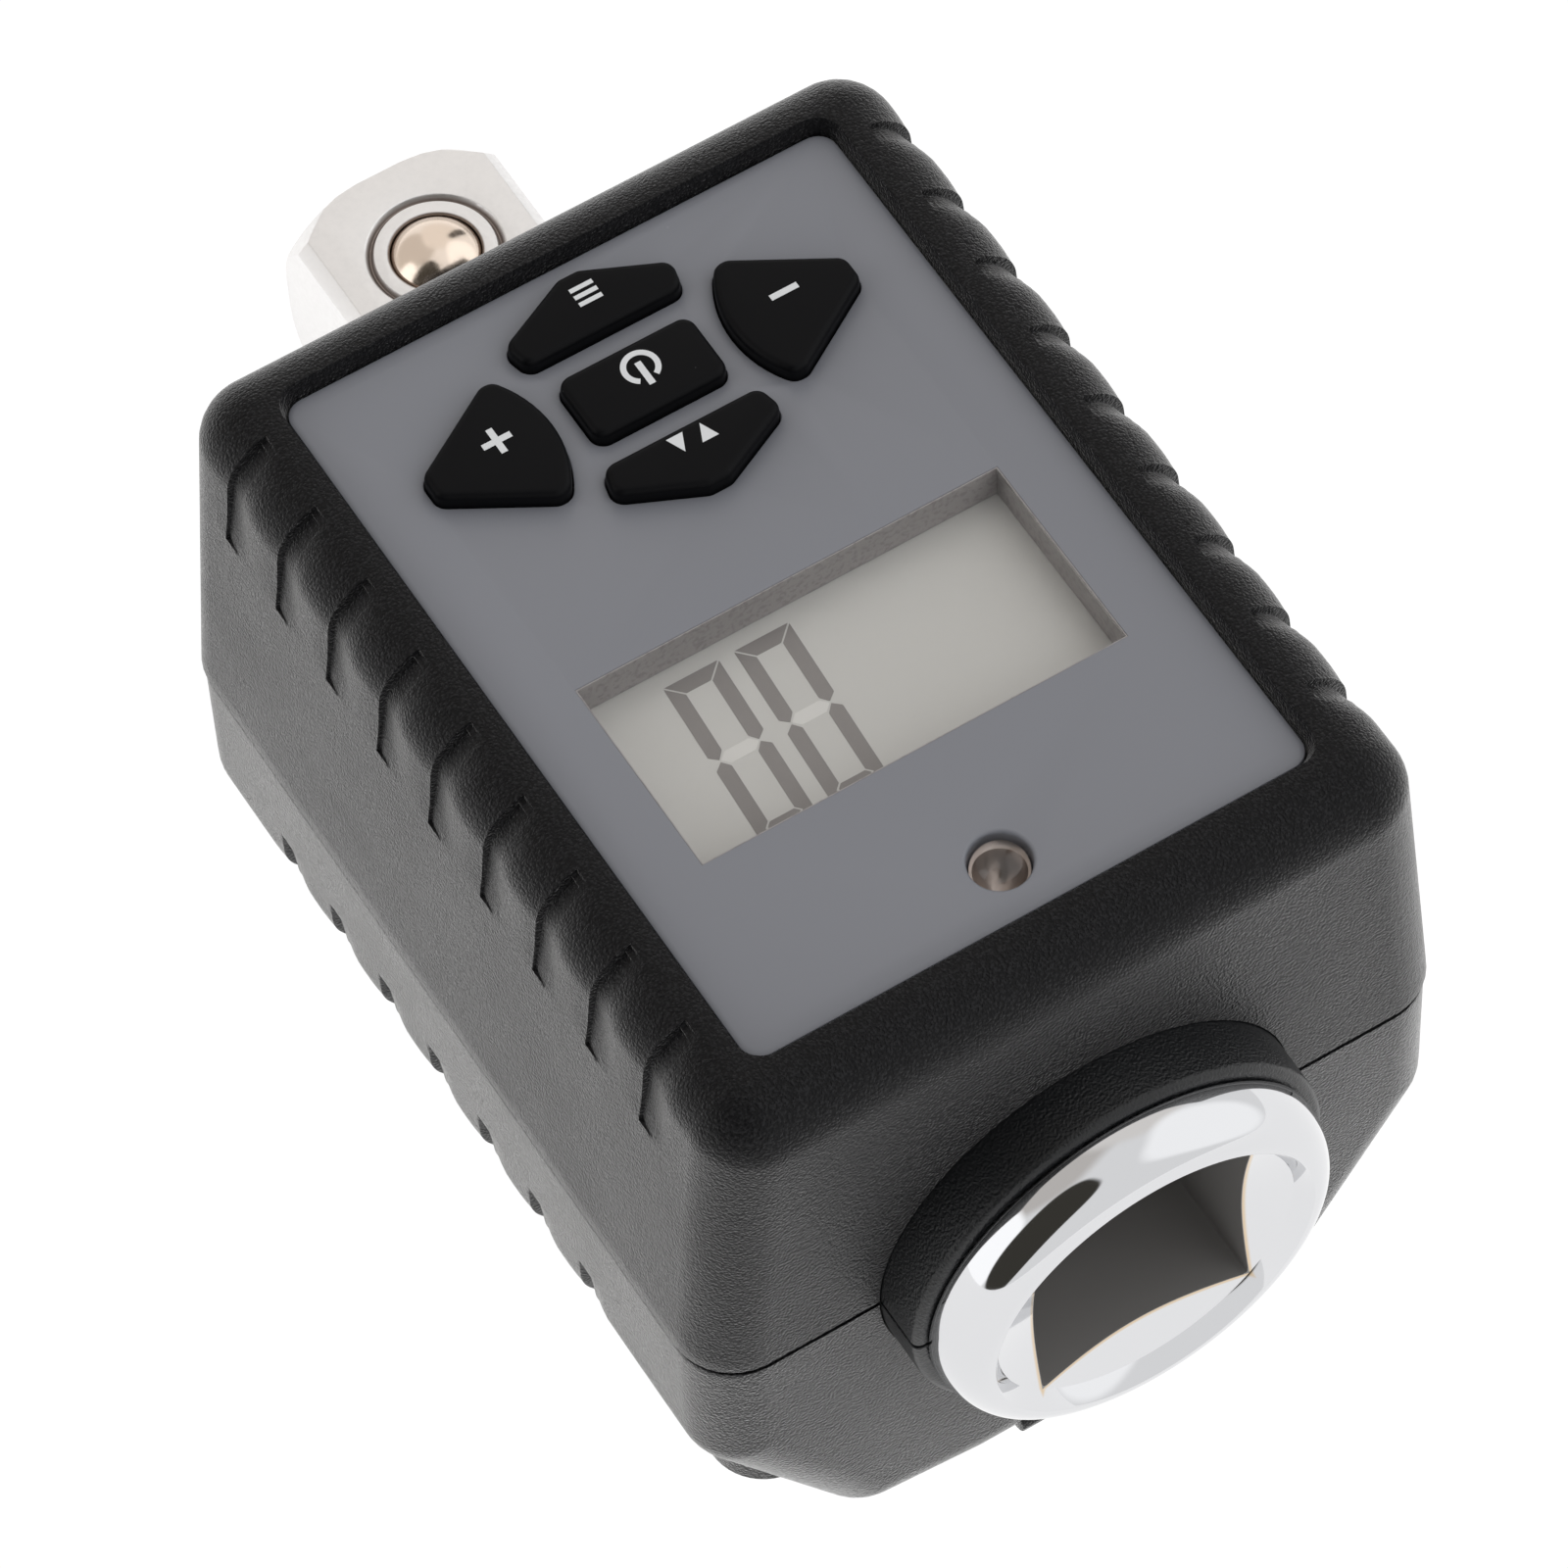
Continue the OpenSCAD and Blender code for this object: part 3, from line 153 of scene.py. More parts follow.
class FinishColours(bpy.types.PropertyGroup):
    shell: colour("Shell", "Black moulding of the housing", (0.0034, 0.0033, 0.0040, 1))
    # painted highlight: lighter flecks that stand in for glints on the shell's raised grain
    shell_fleck: colour("Shell fleck", "Lighter flecks in the grain", (0.020, 0.020, 0.022, 1))
    collar: colour("Collar", "Satin coating of the collar", (0.0040, 0.0046, 0.0056, 1))
    panel: colour("Panel", "Grey of the panel", (0.210, 0.218, 0.246, 1))
    key: colour("Keys", "Black rubber of the keys", (0.0029, 0.0030, 0.0038, 1))
    print_white: colour("Print", "White of the key marks", (0.72, 0.74, 0.76, 1))
    chrome: colour("Chrome", "Polished steel", (0.64, 0.645, 0.66, 1))
    # painted shade: the socket's walls are darker and satin to stand in for the shade inside the hole
    bore: colour("Bore", "Dark walls of the square socket", (0.27, 0.262, 0.255, 1))
    # painted highlight: the warm line along the socket's edges stands in for light caught by them
    worn: colour("Worn edge", "Warm line along the edges of the socket", (0.62, 0.50, 0.36, 1))
    nickel: colour("Nickel", "Satin steel of the drive", (0.86, 0.85, 0.845, 1))
    # painted reflection: the ball's warm tone stands in for the warm surroundings mirrored in plain steel
    ball: colour("Ball", "Warm steel of the ball", (0.84, 0.71, 0.60, 1))
    display: colour("Display", "Face of the display", (0.455, 0.450, 0.442, 1))
    segment: colour("Segment", "Dark segments of the display", (0.205, 0.192, 0.190, 1))
    frame_brown: colour("Display frame", "Walls round the display", (0.350, 0.331, 0.332, 1))
    lamp: colour("Lamp", "Smoky lens of the lamp", (0.58, 0.555, 0.55, 1))


class StageSettings(bpy.types.PropertyGroup):
    focal: FloatProperty(name="Lens", description="Focal length in millimetres", default=203.84)
    floor: colour("Floor", "Pale floor", (0.35, 0.35, 0.35, 1))
    glow: FloatProperty(name="Floor glow", description="Light that the table gives off", default=0.88)
    drop: length("Floor drop", "Room under the object, so that its door can hang open", 50 * MM)


GROUPS = {
    "adapter_body": BodySizes, "adapter_grip": GripSizes, "adapter_panel": PanelSizes,
    "adapter_drive": DriveSizes, "adapter_finish": FinishColours, "adapter_stage": StageSettings,
}


def settings(name):
    return getattr(bpy.context.scene, "adapter_" + name)


# ---------------------------------------------------------------- modelling steps

def start():
    """Back to object mode with nothing selected."""
    if bpy.context.object and bpy.context.object.mode != "OBJECT":
        bpy.ops.object.mode_set(mode="OBJECT")
    bpy.ops.object.select_all(action="DESELECT")


def only(ob):
    start()
    ob.select_set(True)
    bpy.context.view_layer.objects.active = ob
    return ob


def edit(ob):
    """Into edit mode with everything selected."""
    only(ob)
    bpy.ops.object.mode_set(mode="EDIT")
    bpy.ops.mesh.select_all(action="SELECT")


def merge(near):
    """In edit mode, merges what lies closer together than near."""
    bpy.ops.mesh.select_all(action="SELECT")
    bpy.ops.mesh.remove_doubles(threshold=near)


def close_up():
    """Turns all faces outwards and goes back to object mode."""
    bpy.ops.mesh.select_all(action="SELECT")
    bpy.ops.mesh.normals_make_consistent(inside=False)
    bpy.ops.object.mode_set(mode="OBJECT")


def pick(ob, kind, test):
    """In edit mode, selects the vertices, edges or faces that pass the test."""
    bpy.ops.mesh.select_all(action="DESELECT")
    bpy.ops.mesh.select_mode(type=kind)
    bm = bmesh.from_edit_mesh(ob.data)
    for item in {"VERT": bm.verts, "EDGE": bm.edges, "FACE": bm.faces}[kind]:
        item.select = bool(test(item))
    bm.select_flush_mode()
    bmesh.update_edit_mesh(ob.data)


def tidy(ob):
    """Merges doubles and turns all faces outwards."""
    edit(ob)
    merge(NEAR)
    close_up()
    return ob


def named(name):
    ob = bpy.context.object
    ob.name = name
    ob.data.name = name
    return ob


def block(name, low, high):
    """A box between two corners, given about the middle of the body."""
    start()
    low, high = Vector(low), Vector(high)
    bpy.ops.mesh.primitive_cube_add(size=1, location=MIDDLE + (low + high) / 2, scale=high - low)
    ob = named(name)
    bpy.ops.object.transform_apply(location=True, rotation=True, scale=True)
    return ob


def prism(name, outline, low, high, axis="Z", upper=None):
    """An outline drawn flat and pulled from low to high, along Z or along Y; upper is its outline there."""
    start()
    bpy.ops.mesh.primitive_circle_add(vertices=len(outline), radius=1, fill_type="NGON")
    ob = named(name)
    for v, (a, b) in zip(ob.data.vertices, outline):
        v.co = MIDDLE + (Vector((a, b, low)) if axis == "Z" else Vector((a, low, b)))
    edit(ob)
    pull = (0, 0, high - low) if axis == "Z" else (0, high - low, 0)
    bpy.ops.mesh.extrude_region_move(TRANSFORM_OT_translate={"value": pull})
    close_up()
    if upper:
        raised = [v for v in ob.data.vertices if v.co.z > MIDDLE.z + high - 1e-6]
        near = {(round(v.co.x, 7), round(v.co.y, 7)): v for v in raised}
        for (a, b), (c, d) in zip(outline, upper):
            v = near[(round(a + MIDDLE.x, 7), round(b + MIDDLE.y, 7))]
            v.co.x, v.co.y = MIDDLE.x + c, MIDDLE.y + d
    return ob


def turned(name, profile, steps=128, axis="Y", centre=(0, 0, 0), loop=False):
    """A profile of (radius, place) points spun about an axis, as on a lathe."""
    start()
    bpy.ops.mesh.primitive_circle_add(vertices=len(profile), radius=1, fill_type="NOTHING")
    ob = named(name)
    middle = MIDDLE + Vector(centre)
    for v, (r, t) in zip(ob.data.vertices, profile):
        v.co = middle + (Vector((r, t, 0)) if axis == "Y" else Vector((r, 0, t)))
    edit(ob)
    if not loop:
        ends = {len(profile) - 1, 0}
        pick(ob, "EDGE", lambda e: {v.index for v in e.verts} == ends)
        bpy.ops.mesh.delete(type="EDGE_FACE")
    bpy.ops.mesh.select_all(action="SELECT")
    bpy.ops.mesh.spin(
        steps=steps, angle=2 * math.pi, center=middle, axis=(0, 1, 0) if axis == "Y" else (0, 0, 1))
    merge(LEVEL)
    bpy.ops.mesh.dissolve_degenerate(threshold=LEVEL / 2)
    close_up()
    return ob


def combine(ob, others, kind):
    """Cuts, joins or crosses a piece with others, which are used up."""
    box = bpy.data.collections.new("cutters")
    bpy.context.scene.collection.children.link(box)
    for other in others:
        for home in other.users_collection:
            home.objects.unlink(other)
        box.objects.link(other)
    only(ob)
    step = ob.modifiers.new(kind.lower(), "BOOLEAN")
    step.operation = kind
    step.solver = "EXACT"
    if len(others) == 1:
        step.object = others[0]
    else:
        step.operand_type = "COLLECTION"
        step.collection = box
    bpy.ops.object.modifier_apply(modifier=step.name)
    for other in others:
        bpy.data.objects.remove(other)
    bpy.data.collections.remove(box)
    return ob


def carve(ob, *cutters):
    return combine(ob, cutters, "DIFFERENCE")


def join(ob, *others):
    """Puts several objects into one mesh."""
    only(ob)
    for other in others:
        other.select_set(True)
    if others:
        bpy.ops.object.join()
    return ob


def bevel(ob, test, width, segments=2):
    """Bevels the edges that pass the test."""
    edit(ob)
    pick(ob, "EDGE", test)
    bpy.ops.mesh.bevel(offset=width, offset_type="OFFSET", segments=segments, profile=0.5, affect="EDGES",
                       clamp_overlap=True)
    bpy.ops.object.mode_set(mode="OBJECT")
    return ob


def soften(ob, width, segments=2, angle=40):
    """Bevels every sharp edge with a modifier, and applies it."""
    only(ob)
    step = ob.modifiers.new("bevel", "BEVEL")
    step.width = width
    step.segments = segments
    step.limit_method = "ANGLE"
    step.angle_limit = math.radians(angle)
    step.use_clamp_overlap = True
    bpy.ops.object.modifier_apply(modifier=step.name)
    return ob


def done(ob, finish_key, slot, *nodes, body="housing", angle=32):
    """Finishes a piece: smooth shading, its material, its body and the nodes it stands for; the slot is not
    used.
    """
    only(ob)
    bpy.ops.object.shade_smooth_by_angle(angle=math.radians(angle))
    ob.data.materials.clear()
    ob.data.materials.append(FINISHES[finish_key])
    if nodes:
        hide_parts(*nodes)
    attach(ob, body)
    start()
    return ob


def copy_of(node, name):
    """A merged copy of a CAD node's mesh, to be worked on."""
    start()
    ob = NODES[node].copy()
    ob.data = NODES[node].data.copy()
    for key in list(ob.keys()):
        del ob[key]
    ob.parent = None
    ob.name = ob.data.name = name
    bpy.context.scene.collection.objects.link(ob)
    edit(ob)
    merge(LEVEL)
    bpy.ops.mesh.dissolve_limited(angle_limit=math.radians(1))
    bpy.ops.object.mode_set(mode="OBJECT")
    return ob


# ---------------------------------------------------------------- outlines

def in_mm(*points):
    return [(a * MM, b * MM) for a, b in points]


def rounded_outline(points, radius, steps=8):
    """Rounds the corners of a closed outline."""
    out = []
    n = len(points)
    for i in range(n):
        before, here, after = (Vector(points[(i + k) % n]) for k in (-1, 0, 1))
        u, w = (before - here).normalized(), (after - here).normalized()
        half = math.acos(max(-1, min(1, u.dot(w)))) / 2
        if half > math.radians(84):
            out.append(tuple(here))
            continue
        cut = radius / math.tan(half)
        centre = here + (u + w).normalized() * (radius / math.sin(half))
        a, b = here + u * cut - centre, here + w * cut - centre
        turn = a.angle_signed(b)
        for k in range(steps + 1):
            t = -turn * k / steps
            c, s = math.cos(t), math.sin(t)
            out.append((centre.x + a.x * c - a.y * s, centre.y + a.x * s + a.y * c))
    return out


def grown(points, by):
    """Moves a closed outline outwards, edge by edge."""
    n = len(points)
    area = sum(points[i - 1][0] * points[i][1] - points[i][0] * points[i - 1][1] for i in range(n))
    side = 1 if area > 0 else -1
    out = []
    for i in range(n):
        p, q, r = (Vector(points[(i + k) % n]) for k in (-1, 0, 1))
        u, w = (q - p).normalized(), (r - q).normalized()
        a, b = Vector((u.y, -u.x)) * side, Vector((w.y, -w.x)) * side
        m = (a + b).normalized()
        out.append(tuple(q + m * (by / max(0.3, m.dot(a)))))
    return out


def box_outline(half_w, half_l, radius, y=0):
    corners = [(half_w, half_l), (-half_w, half_l), (-half_w, -half_l), (half_w, -half_l)]
    return [(a, y + b) for a, b in rounded_outline(corners, radius)]


def four_fold(points):
    """Points of one corner of a square, repeated about the axis."""
    out = []
    for k in range(4):
        c, s = round(math.cos(k * math.pi / 2)), round(math.sin(k * math.pi / 2))
        out += [(x * c - z * s, x * s + z * c) for x, z in points]
    return out


def circle_outline(radius, x=0, y=0, steps=64):
    turns = [2 * math.pi * k / steps for k in range(steps)]
    return [(x + radius * math.cos(a), y + radius * math.sin(a)) for a in turns]


def key_outline(key, grow=0.0):
    """Outline of one key about the middle of the keypad, in metres."""
    s = settings("panel")
    if key == "power":
        points = [(4.1, 2.2), (-4.1, 2.2), (-4.1, -2.2), (4.1, -2.2)]
    elif key in ("menu", "mode"):
        points = [(-4.784, 3.8), (4.784, 3.8), (5.2, 5.6), (0.624, 7.8), (-0.624, 7.8), (-5.2, 5.6)]
        if key == "mode":
            points = [(x, -y) for x, y in reversed(points)]
    else:
        arc = math.asin(4.1 / 6.9)
        points = [(7.6, 4.1)]
        turns = [arc * k / 8 for k in range(8, -9, -1)]
        points += [(12.4 - 6.9 * math.cos(a), 6.9 * math.sin(a)) for a in turns]
        points += [(7.6, -4.1), (13.0, -0.82), (13.0, 0.82)]
        if key == "plus":
            points = [(-x, y) for x, y in reversed(points)]
    points = rounded_outline(in_mm(*points), s.key_corner)
    if grow:
        points = grown(points, grow)
    return [(x, y + s.keypad_y) for x, y in points]


KEYS = ("plus", "minus", "menu", "power", "mode")


# ---------------------------------------------------------------- body surfaces

def spread(a, b, n):
    return [a + (b - a) * k / n for k in range(n + 1)]


SINK_REACH = 0.8 * MM   # how far from a groove the swell begins


def groove_rows(count, middle, even=False):
    """Places across the body from front to rear, closer together at the grooves.
    Each is (y, share of a groove's depth, how far the swell has sunk). Even grooves are the same on both
    of their sides."""
    g = settings("grip")
    b = settings("body")
    half = g.width / 2
    flat = b.half_length - b.edge
    centres = [middle + (k - (count - 1) / 2) * g.pitch for k in range(count)]
    inner = [0.06 * MM, 0.3 * MM, 0.75 * MM, 1.3 * MM]
    rows = []
    begin = -flat
    for c in centres + [None]:
        stop = c - half if c is not None else flat
        gap = stop - begin
        places = [begin + d for d in inner if d < gap / 2] + [begin + gap / 2]
        places += [stop - d for d in reversed(inner) if d < gap / 2]
        for y in places:
            sink = 0
            if begin > -flat + 0.1 * MM:
                sink = 0.35 * math.exp(-((y - begin) / SINK_REACH) ** 2)
            if c is not None:
                sink = max(sink, math.exp(-((stop - y) / SINK_REACH) ** 2))
            rows.append((y, 0, sink))
        if c is None:
            break
        if even:
            rows += [(c + half * t, share, 0.9) for t, share in (
                (-1, 0), (-0.93, 0.35), (-0.75, 0.72), (-0.4, 0.95), (0, 1), (0.4, 0.95), (0.75, 0.72),
                (0.93, 0.35), (1, 0))]
        else:
            rows += [
                (c - half + 0.03 * MM, 0.12, 1), (c - half + 0.16 * MM, 0.18, 1),
                (c - half * 0.3, 0.36, 0.95), (c + half * 0.1, 0.52, 0.85), (c + half * 0.45, 0.70, 0.7),
                (c + half - 0.19 * MM, 0.88, 0.6), (c + half - 0.10 * MM, 0.95, 0.5),
                (c + half - 0.04 * MM, 0.88, 0.4), (c + half, 0.0, 0.35)]
        begin = c + half
    return rows


def body_surface(name, stations, rows, half_length):
    """The skin of one half of the body: stations run over the section, rows along the drive axis.
    The ends are rounded over with the edge radius and closed."""
    b = settings("body")
    g = settings("grip")
    r = b.edge
    flat = half_length - r
    turn = [90, 84, 75, 65, 55, 45, 35, 25, 15, 7, 0]
    lines = [(-flat - r * math.sin(math.radians(a)), r * math.cos(math.radians(a)), 0, 0) for a in turn]
    lines += [(y, r, d, s) for y, d, s in rows if -flat + 0.01 * MM < y < flat - 0.01 * MM]
    lines += [(-y, q, 0, 0) for y, q, _, _ in reversed(lines[:len(turn)])]
    start()
    cols = len(stations)
    bpy.ops.mesh.primitive_grid_add(x_subdivisions=cols - 1, y_subdivisions=len(lines) - 1, size=2)
    ob = named(name)
    assert len(ob.data.vertices) == cols * len(lines), "the grid has another number of points"
    for v in ob.data.vertices:
        i = round((v.co.x + 1) / 2 * (cols - 1))
        j = round((v.co.y + 1) / 2 * (len(lines) - 1))
        cx, cz, nx, nz, inset, deep, swell = stations[i]
        y, radius, share, sink = lines[j]
        out = max(0, radius - inset) - deep * share - g.swell * swell * sink
        if radius < r:
            out = max(0, radius - inset)
        v.co = MIDDLE + Vector((cx + nx * out, y, cz + nz * out))
    edit(ob)
    merge(NEAR)
    for side in (-1, 1):
        edge = MIDDLE.y + side * half_length
        pick(ob, "VERT", lambda v: abs(v.co.y - edge) < LEVEL)
        bpy.ops.mesh.edge_face_add()
    level = MIDDLE.z + stations[0][1]
    pick(ob, "VERT", lambda v: abs(v.co.z - level) < LEVEL)
    bpy.ops.mesh.edge_face_add()
    close_up()
    return ob


def seam_edge(x, z, way):
    """Stations of the small rounding at the seam; way is 1 for the upper shell and -1 for the lower one."""
    r = settings("body").seam_round
    return [(x, z + way * r * rise, 1, 0, r * inset, 0, 0) for rise, inset in ((0, 1), (0.4, 0.35), (1, 0))]


def both_sides(stations):
    """A station is (centre x, centre z, normal x, normal z, inset, groove depth, swell)."""
    return stations + [(-cx, cz, -nx, nz, i, d, s) for cx, cz, nx, nz, i, d, s in reversed(stations)]


def upper_stations():
    """Section of the upper shell from the parting line over the rounded edge to the flat rim."""
    b = settings("body")
    g = settings("grip")
    r, z0 = b.edge, b.seam / 2
    top = b.rim - r
    ax, bx = b.half_width - r, b.half_width - b.lean - r
    tilt = math.atan2(b.lean, top - z0)
    out = seam_edge(ax, z0, 1)
    nx, nz = math.cos(tilt), math.sin(tilt)
    tip = g.tip_z
    start_angle = math.degrees(tilt)
    inner = math.degrees(math.acos((g.inner_x - bx) / r))
    run = math.radians(inner - start_angle) * r + top + r * nz - tip
    shelf_long = 0.42 * MM

    def depth(u):
        """Depth of a groove at a share u of its run, from the inner end down to the tip."""
        if u < 0 or u > 1:
            return 0
        if u * run < shelf_long:
            return g.shelf
        return g.deep * (0.72 + 0.30 * math.sin(math.pi * min(1, u * 1.25)) - 0.30 * u)

    def swell(u):
        fade = min(1, max(0, (u + 0.05) / 0.3)) * min(1, max(0, (1.02 - u) / 0.25))
        return fade * fade * (3 - 2 * fade)

    heights = [z * MM for z in (1.2, 4, 7.5, 10.5, 12.8)] + [tip - 0.7 * MM, tip - 0.25 * MM, tip - 0.03 * MM]
    heights += [tip + 0.03 * MM, tip + 0.3 * MM] + spread(tip + 0.8 * MM, top + r * nz - 0.3 * MM, 4)
    for z in heights:
        t = (z - r * nz - z0) / (top - z0)
        u = 1 - (z - tip) / run
        out.append((ax + (bx - ax) * t, z0 + (top - z0) * t, nx, nz, 0, depth(u), swell(u)))
    angles = [a for a in spread(start_angle, 90, 30) if abs(a - inner) > 1.2]
    shelf = math.degrees(shelf_long / r)
    angles += [inner - shelf - 0.7, inner - shelf + 0.7, inner - 0.7, inner + 0.7]
    for a in sorted(angles):
        u = (inner - a) * math.radians(1) * r / run
        c, s = math.cos(math.radians(a)), math.sin(math.radians(a))
        out.append((bx, top, c, s, 0, depth(u) if a < inner else 0, swell(u)))
    out += [(x, top, 0, 1, 0, 0, 0) for x in (bx - 0.8 * MM, bx / 2, 0.0001)]
    return both_sides(out)


def lower_stations():
    """Section of the lower shell from the parting line down over the flank to the belly."""
    b = settings("body")
    g = settings("grip")
    r, z0 = b.edge, -b.seam / 2 - b.seam_open
    half = b.half_width - b.step
    ax = half - r
    lean = math.pi / 2 - b.flank_slope
    wall_z = -(b.flank_top - r * math.tan(lean / 2))
    flank_z = -(b.belly - b.belly_bow - r)
    flank_x = half + ((flank_z + b.flank_top) * math.cos(b.flank_slope) - r) / math.sin(b.flank_slope)
    belly_z = -(b.belly - r)
    bow = math.atan2(flank_x - b.belly_flat, b.belly_bow)
    out = seam_edge(ax, z0, -1)
    turn = lean * r
    up = g.lower_up
    run = up + g.lower_down

    def lens(d):
        """Depth of a groove and the swell at a distance d below the place where it starts on the wall."""
        t = d / run
        if t <= 0 or t >= 1:
            return 0, 0
        return g.lower_deep * min(1, math.sin(math.pi * t) * 1.5) ** 0.8, math.sin(math.pi * t)

    first = -(b.flank_top - up) + 0.3 * MM
    for z in [-0.8 * MM, -3 * MM] + spread(first, wall_z, 9):
        out.append((ax, z, 1, 0, 0) + lens(-(z + b.flank_top - up)))
    for a in spread(0, lean, 8)[1:]:
        out.append((ax, wall_z, math.cos(a), -math.sin(a), 0) + lens(-(wall_z + b.flank_top - up) + a * r))
    nx, nz = math.cos(lean), -math.sin(lean)
    long = math.hypot(flank_x - ax, flank_z - wall_z)
    down = -(wall_z + b.flank_top - up) + turn
    for d in spread(0, run - down, 8)[1:] + [run - down + 0.4 * MM, long * 0.85, long]:
        t = min(1, d / long)
        out.append((ax + (flank_x - ax) * t, wall_z + (flank_z - wall_z) * t, nx, nz, 0) + lens(down + d))
    for a in spread(lean, bow, 10)[1:]:
        out.append((flank_x, flank_z, math.cos(a), -math.sin(a), 0, 0, 0))
    out.append((b.belly_flat, belly_z, math.cos(bow), -math.sin(bow), 0, 0, 0))
    out += [(x, belly_z, 0, -1, 0, 0, 0) for x in (b.belly_flat, b.belly_flat / 2, 0.0001)]
    return both_sides(out)


# ---------------------------------------------------------------- node groups

def group(name, inputs, outputs):
    """A node group with named sockets: (name, type, default)."""
    tree = bpy.data.node_groups.new(name, "ShaderNodeTree")
    for side, sockets in (("INPUT", inputs), ("OUTPUT", outputs)):
        for label, kind, *value in sockets:
            socket = tree.interface.new_socket(name=label, in_out=side, socket_type="NodeSocket" + kind)
            if value:
                socket.default_value = value[0]
    return tree, tree.nodes.new("NodeGroupInput"), tree.nodes.new("NodeGroupOutput")


def add(tree, kind, **values):
    """Adds a node; values are properties, or inputs by name or index, or links from sockets."""
    node = tree.nodes.new("ShaderNode" + kind)
    for key, value in values.items():
        if key.startswith("in_"):
            key = key[3:]
            socket = node.inputs[int(key)] if key.isdigit() else node.inputs[key.replace("_", " ")]
            if isinstance(value, bpy.types.NodeSocket):
                tree.links.new(value, socket)
            else:
                socket.default_value = value
        else:
            setattr(node, key, value)
    return node


def calc(tree, operation, *values):
    """What a Math node gives for its values."""
    inputs = {f"in_{i}": value for i, value in enumerate(values)}
    return add(tree, "Math", operation=operation, **inputs).outputs[0]


def fade(tree, value, low, high, first=0.0, last=1.0, **more):
    """Takes a value from low..high to first..last, and holds it there beyond."""
    node = add(tree, "MapRange", in_Value=value, in_1=low, in_2=high, in_3=first, in_4=last, **more)
    return node.outputs[0]


def on_object(tree):
    return add(tree, "TexCoord").outputs["Object"]


def blend_colour(tree, factor, low, high):
    return add(tree, "Mix", data_type="RGBA", in_0=factor, in_6=low, in_7=high).outputs[2]


def grain_group():
    """Fine pebbled grain of moulded plastic: a height, a mask of its raised flecks, where glints are painted,
    and slow clouds.
    """
    tree, enter, leave = group(
        "moulded grain", [("Size", "Float", 0.2 * MM)],
        [("Height", "Float"), ("Fleck", "Float"), ("Cloud", "Float")])
    place = on_object(tree)
    scale = calc(tree, "DIVIDE", 1.0, enter.outputs["Size"])
    noise = add(tree, "TexNoise", in_Vector=place, in_Scale=scale, in_Detail=1.5, in_Roughness=0.55)
    cells = add(tree, "TexVoronoi", feature="SMOOTH_F1", in_Vector=place, in_Scale=scale, in_Smoothness=0.8)
    mixed = calc(tree, "MULTIPLY_ADD", cells.outputs["Distance"], -0.35, noise.outputs["Fac"])
    cloud = add(tree, "TexNoise", in_Vector=place, in_Scale=160.0, in_Detail=3.0)
    tree.links.new(fade(tree, mixed, 0.12, 0.55), leave.inputs["Height"])
    tree.links.new(fade(tree, mixed, 0.33, 0.50), leave.inputs["Fleck"])
    tree.links.new(cloud.outputs["Fac"], leave.inputs["Cloud"])
    return tree


def dust_group():
    """Sparse pale specks and faint scuffs: masks from 0 to 1."""
    tree, enter, leave = group(
        "specks", [("Size", "Float", 0.6 * MM), ("Amount", "Float", 0.5)],
        [("Speck", "Float"), ("Scuff", "Float")])
    place = on_object(tree)
    scale = calc(tree, "DIVIDE", 1.0, enter.outputs["Size"])
    cells = add(tree, "TexVoronoi", in_Vector=place, in_Scale=scale)
    width = calc(tree, "MULTIPLY", enter.outputs["Amount"], 0.12)
    spot = fade(tree, cells.outputs["Distance"], width, 0.0)
    random = add(tree, "SeparateColor", in_Color=cells.outputs["Color"]).outputs[0]
    speck = calc(tree, "MULTIPLY", spot, fade(tree, random, 0.86, 0.93))
    wide = add(tree, "TexNoise", in_Vector=place, in_Scale=240.0, in_Detail=4.0, in_Roughness=0.65)
    tree.links.new(speck, leave.inputs["Speck"])
    tree.links.new(fade(tree, wide.outputs["Fac"], 0.45, 0.75), leave.inputs["Scuff"])
    return tree


def bore_group():
    """Masks of the square socket: its walls, where shade is painted, and the line along their edges, where a
    warm highlight is painted.
    """
    tree, enter, leave = group(
        "square bore", [("Half", "Float", 6.45 * MM), ("Front", "Float", 0.0), ("Axis", "Float", 0.0)],
        [("Wall", "Float"), ("Edge", "Float")])
    split = add(tree, "SeparateXYZ", in_0=on_object(tree))
    tall = calc(tree, "ABSOLUTE", calc(tree, "SUBTRACT", split.outputs["Z"], enter.outputs["Axis"]))
    wide = calc(tree, "ABSOLUTE", split.outputs["X"])
    out = calc(tree, "SUBTRACT", calc(tree, "MAXIMUM", tall, wide), enter.outputs["Half"])
    deep = calc(tree, "SUBTRACT", split.outputs["Y"], enter.outputs["Front"])
    past = fade(tree, deep, 0.5 * MM, 0.6 * MM)
    # Wall masks the painted shade on the socket's walls; Edge masks the painted warm highlight along their
    # edges
    for label, low, high in (("Wall", 0.05 * MM, 0.03 * MM), ("Edge", 0.26 * MM, 0.12 * MM)):
        tree.links.new(calc(tree, "MULTIPLY", fade(tree, out, low, high), past), leave.inputs[label])
    return tree


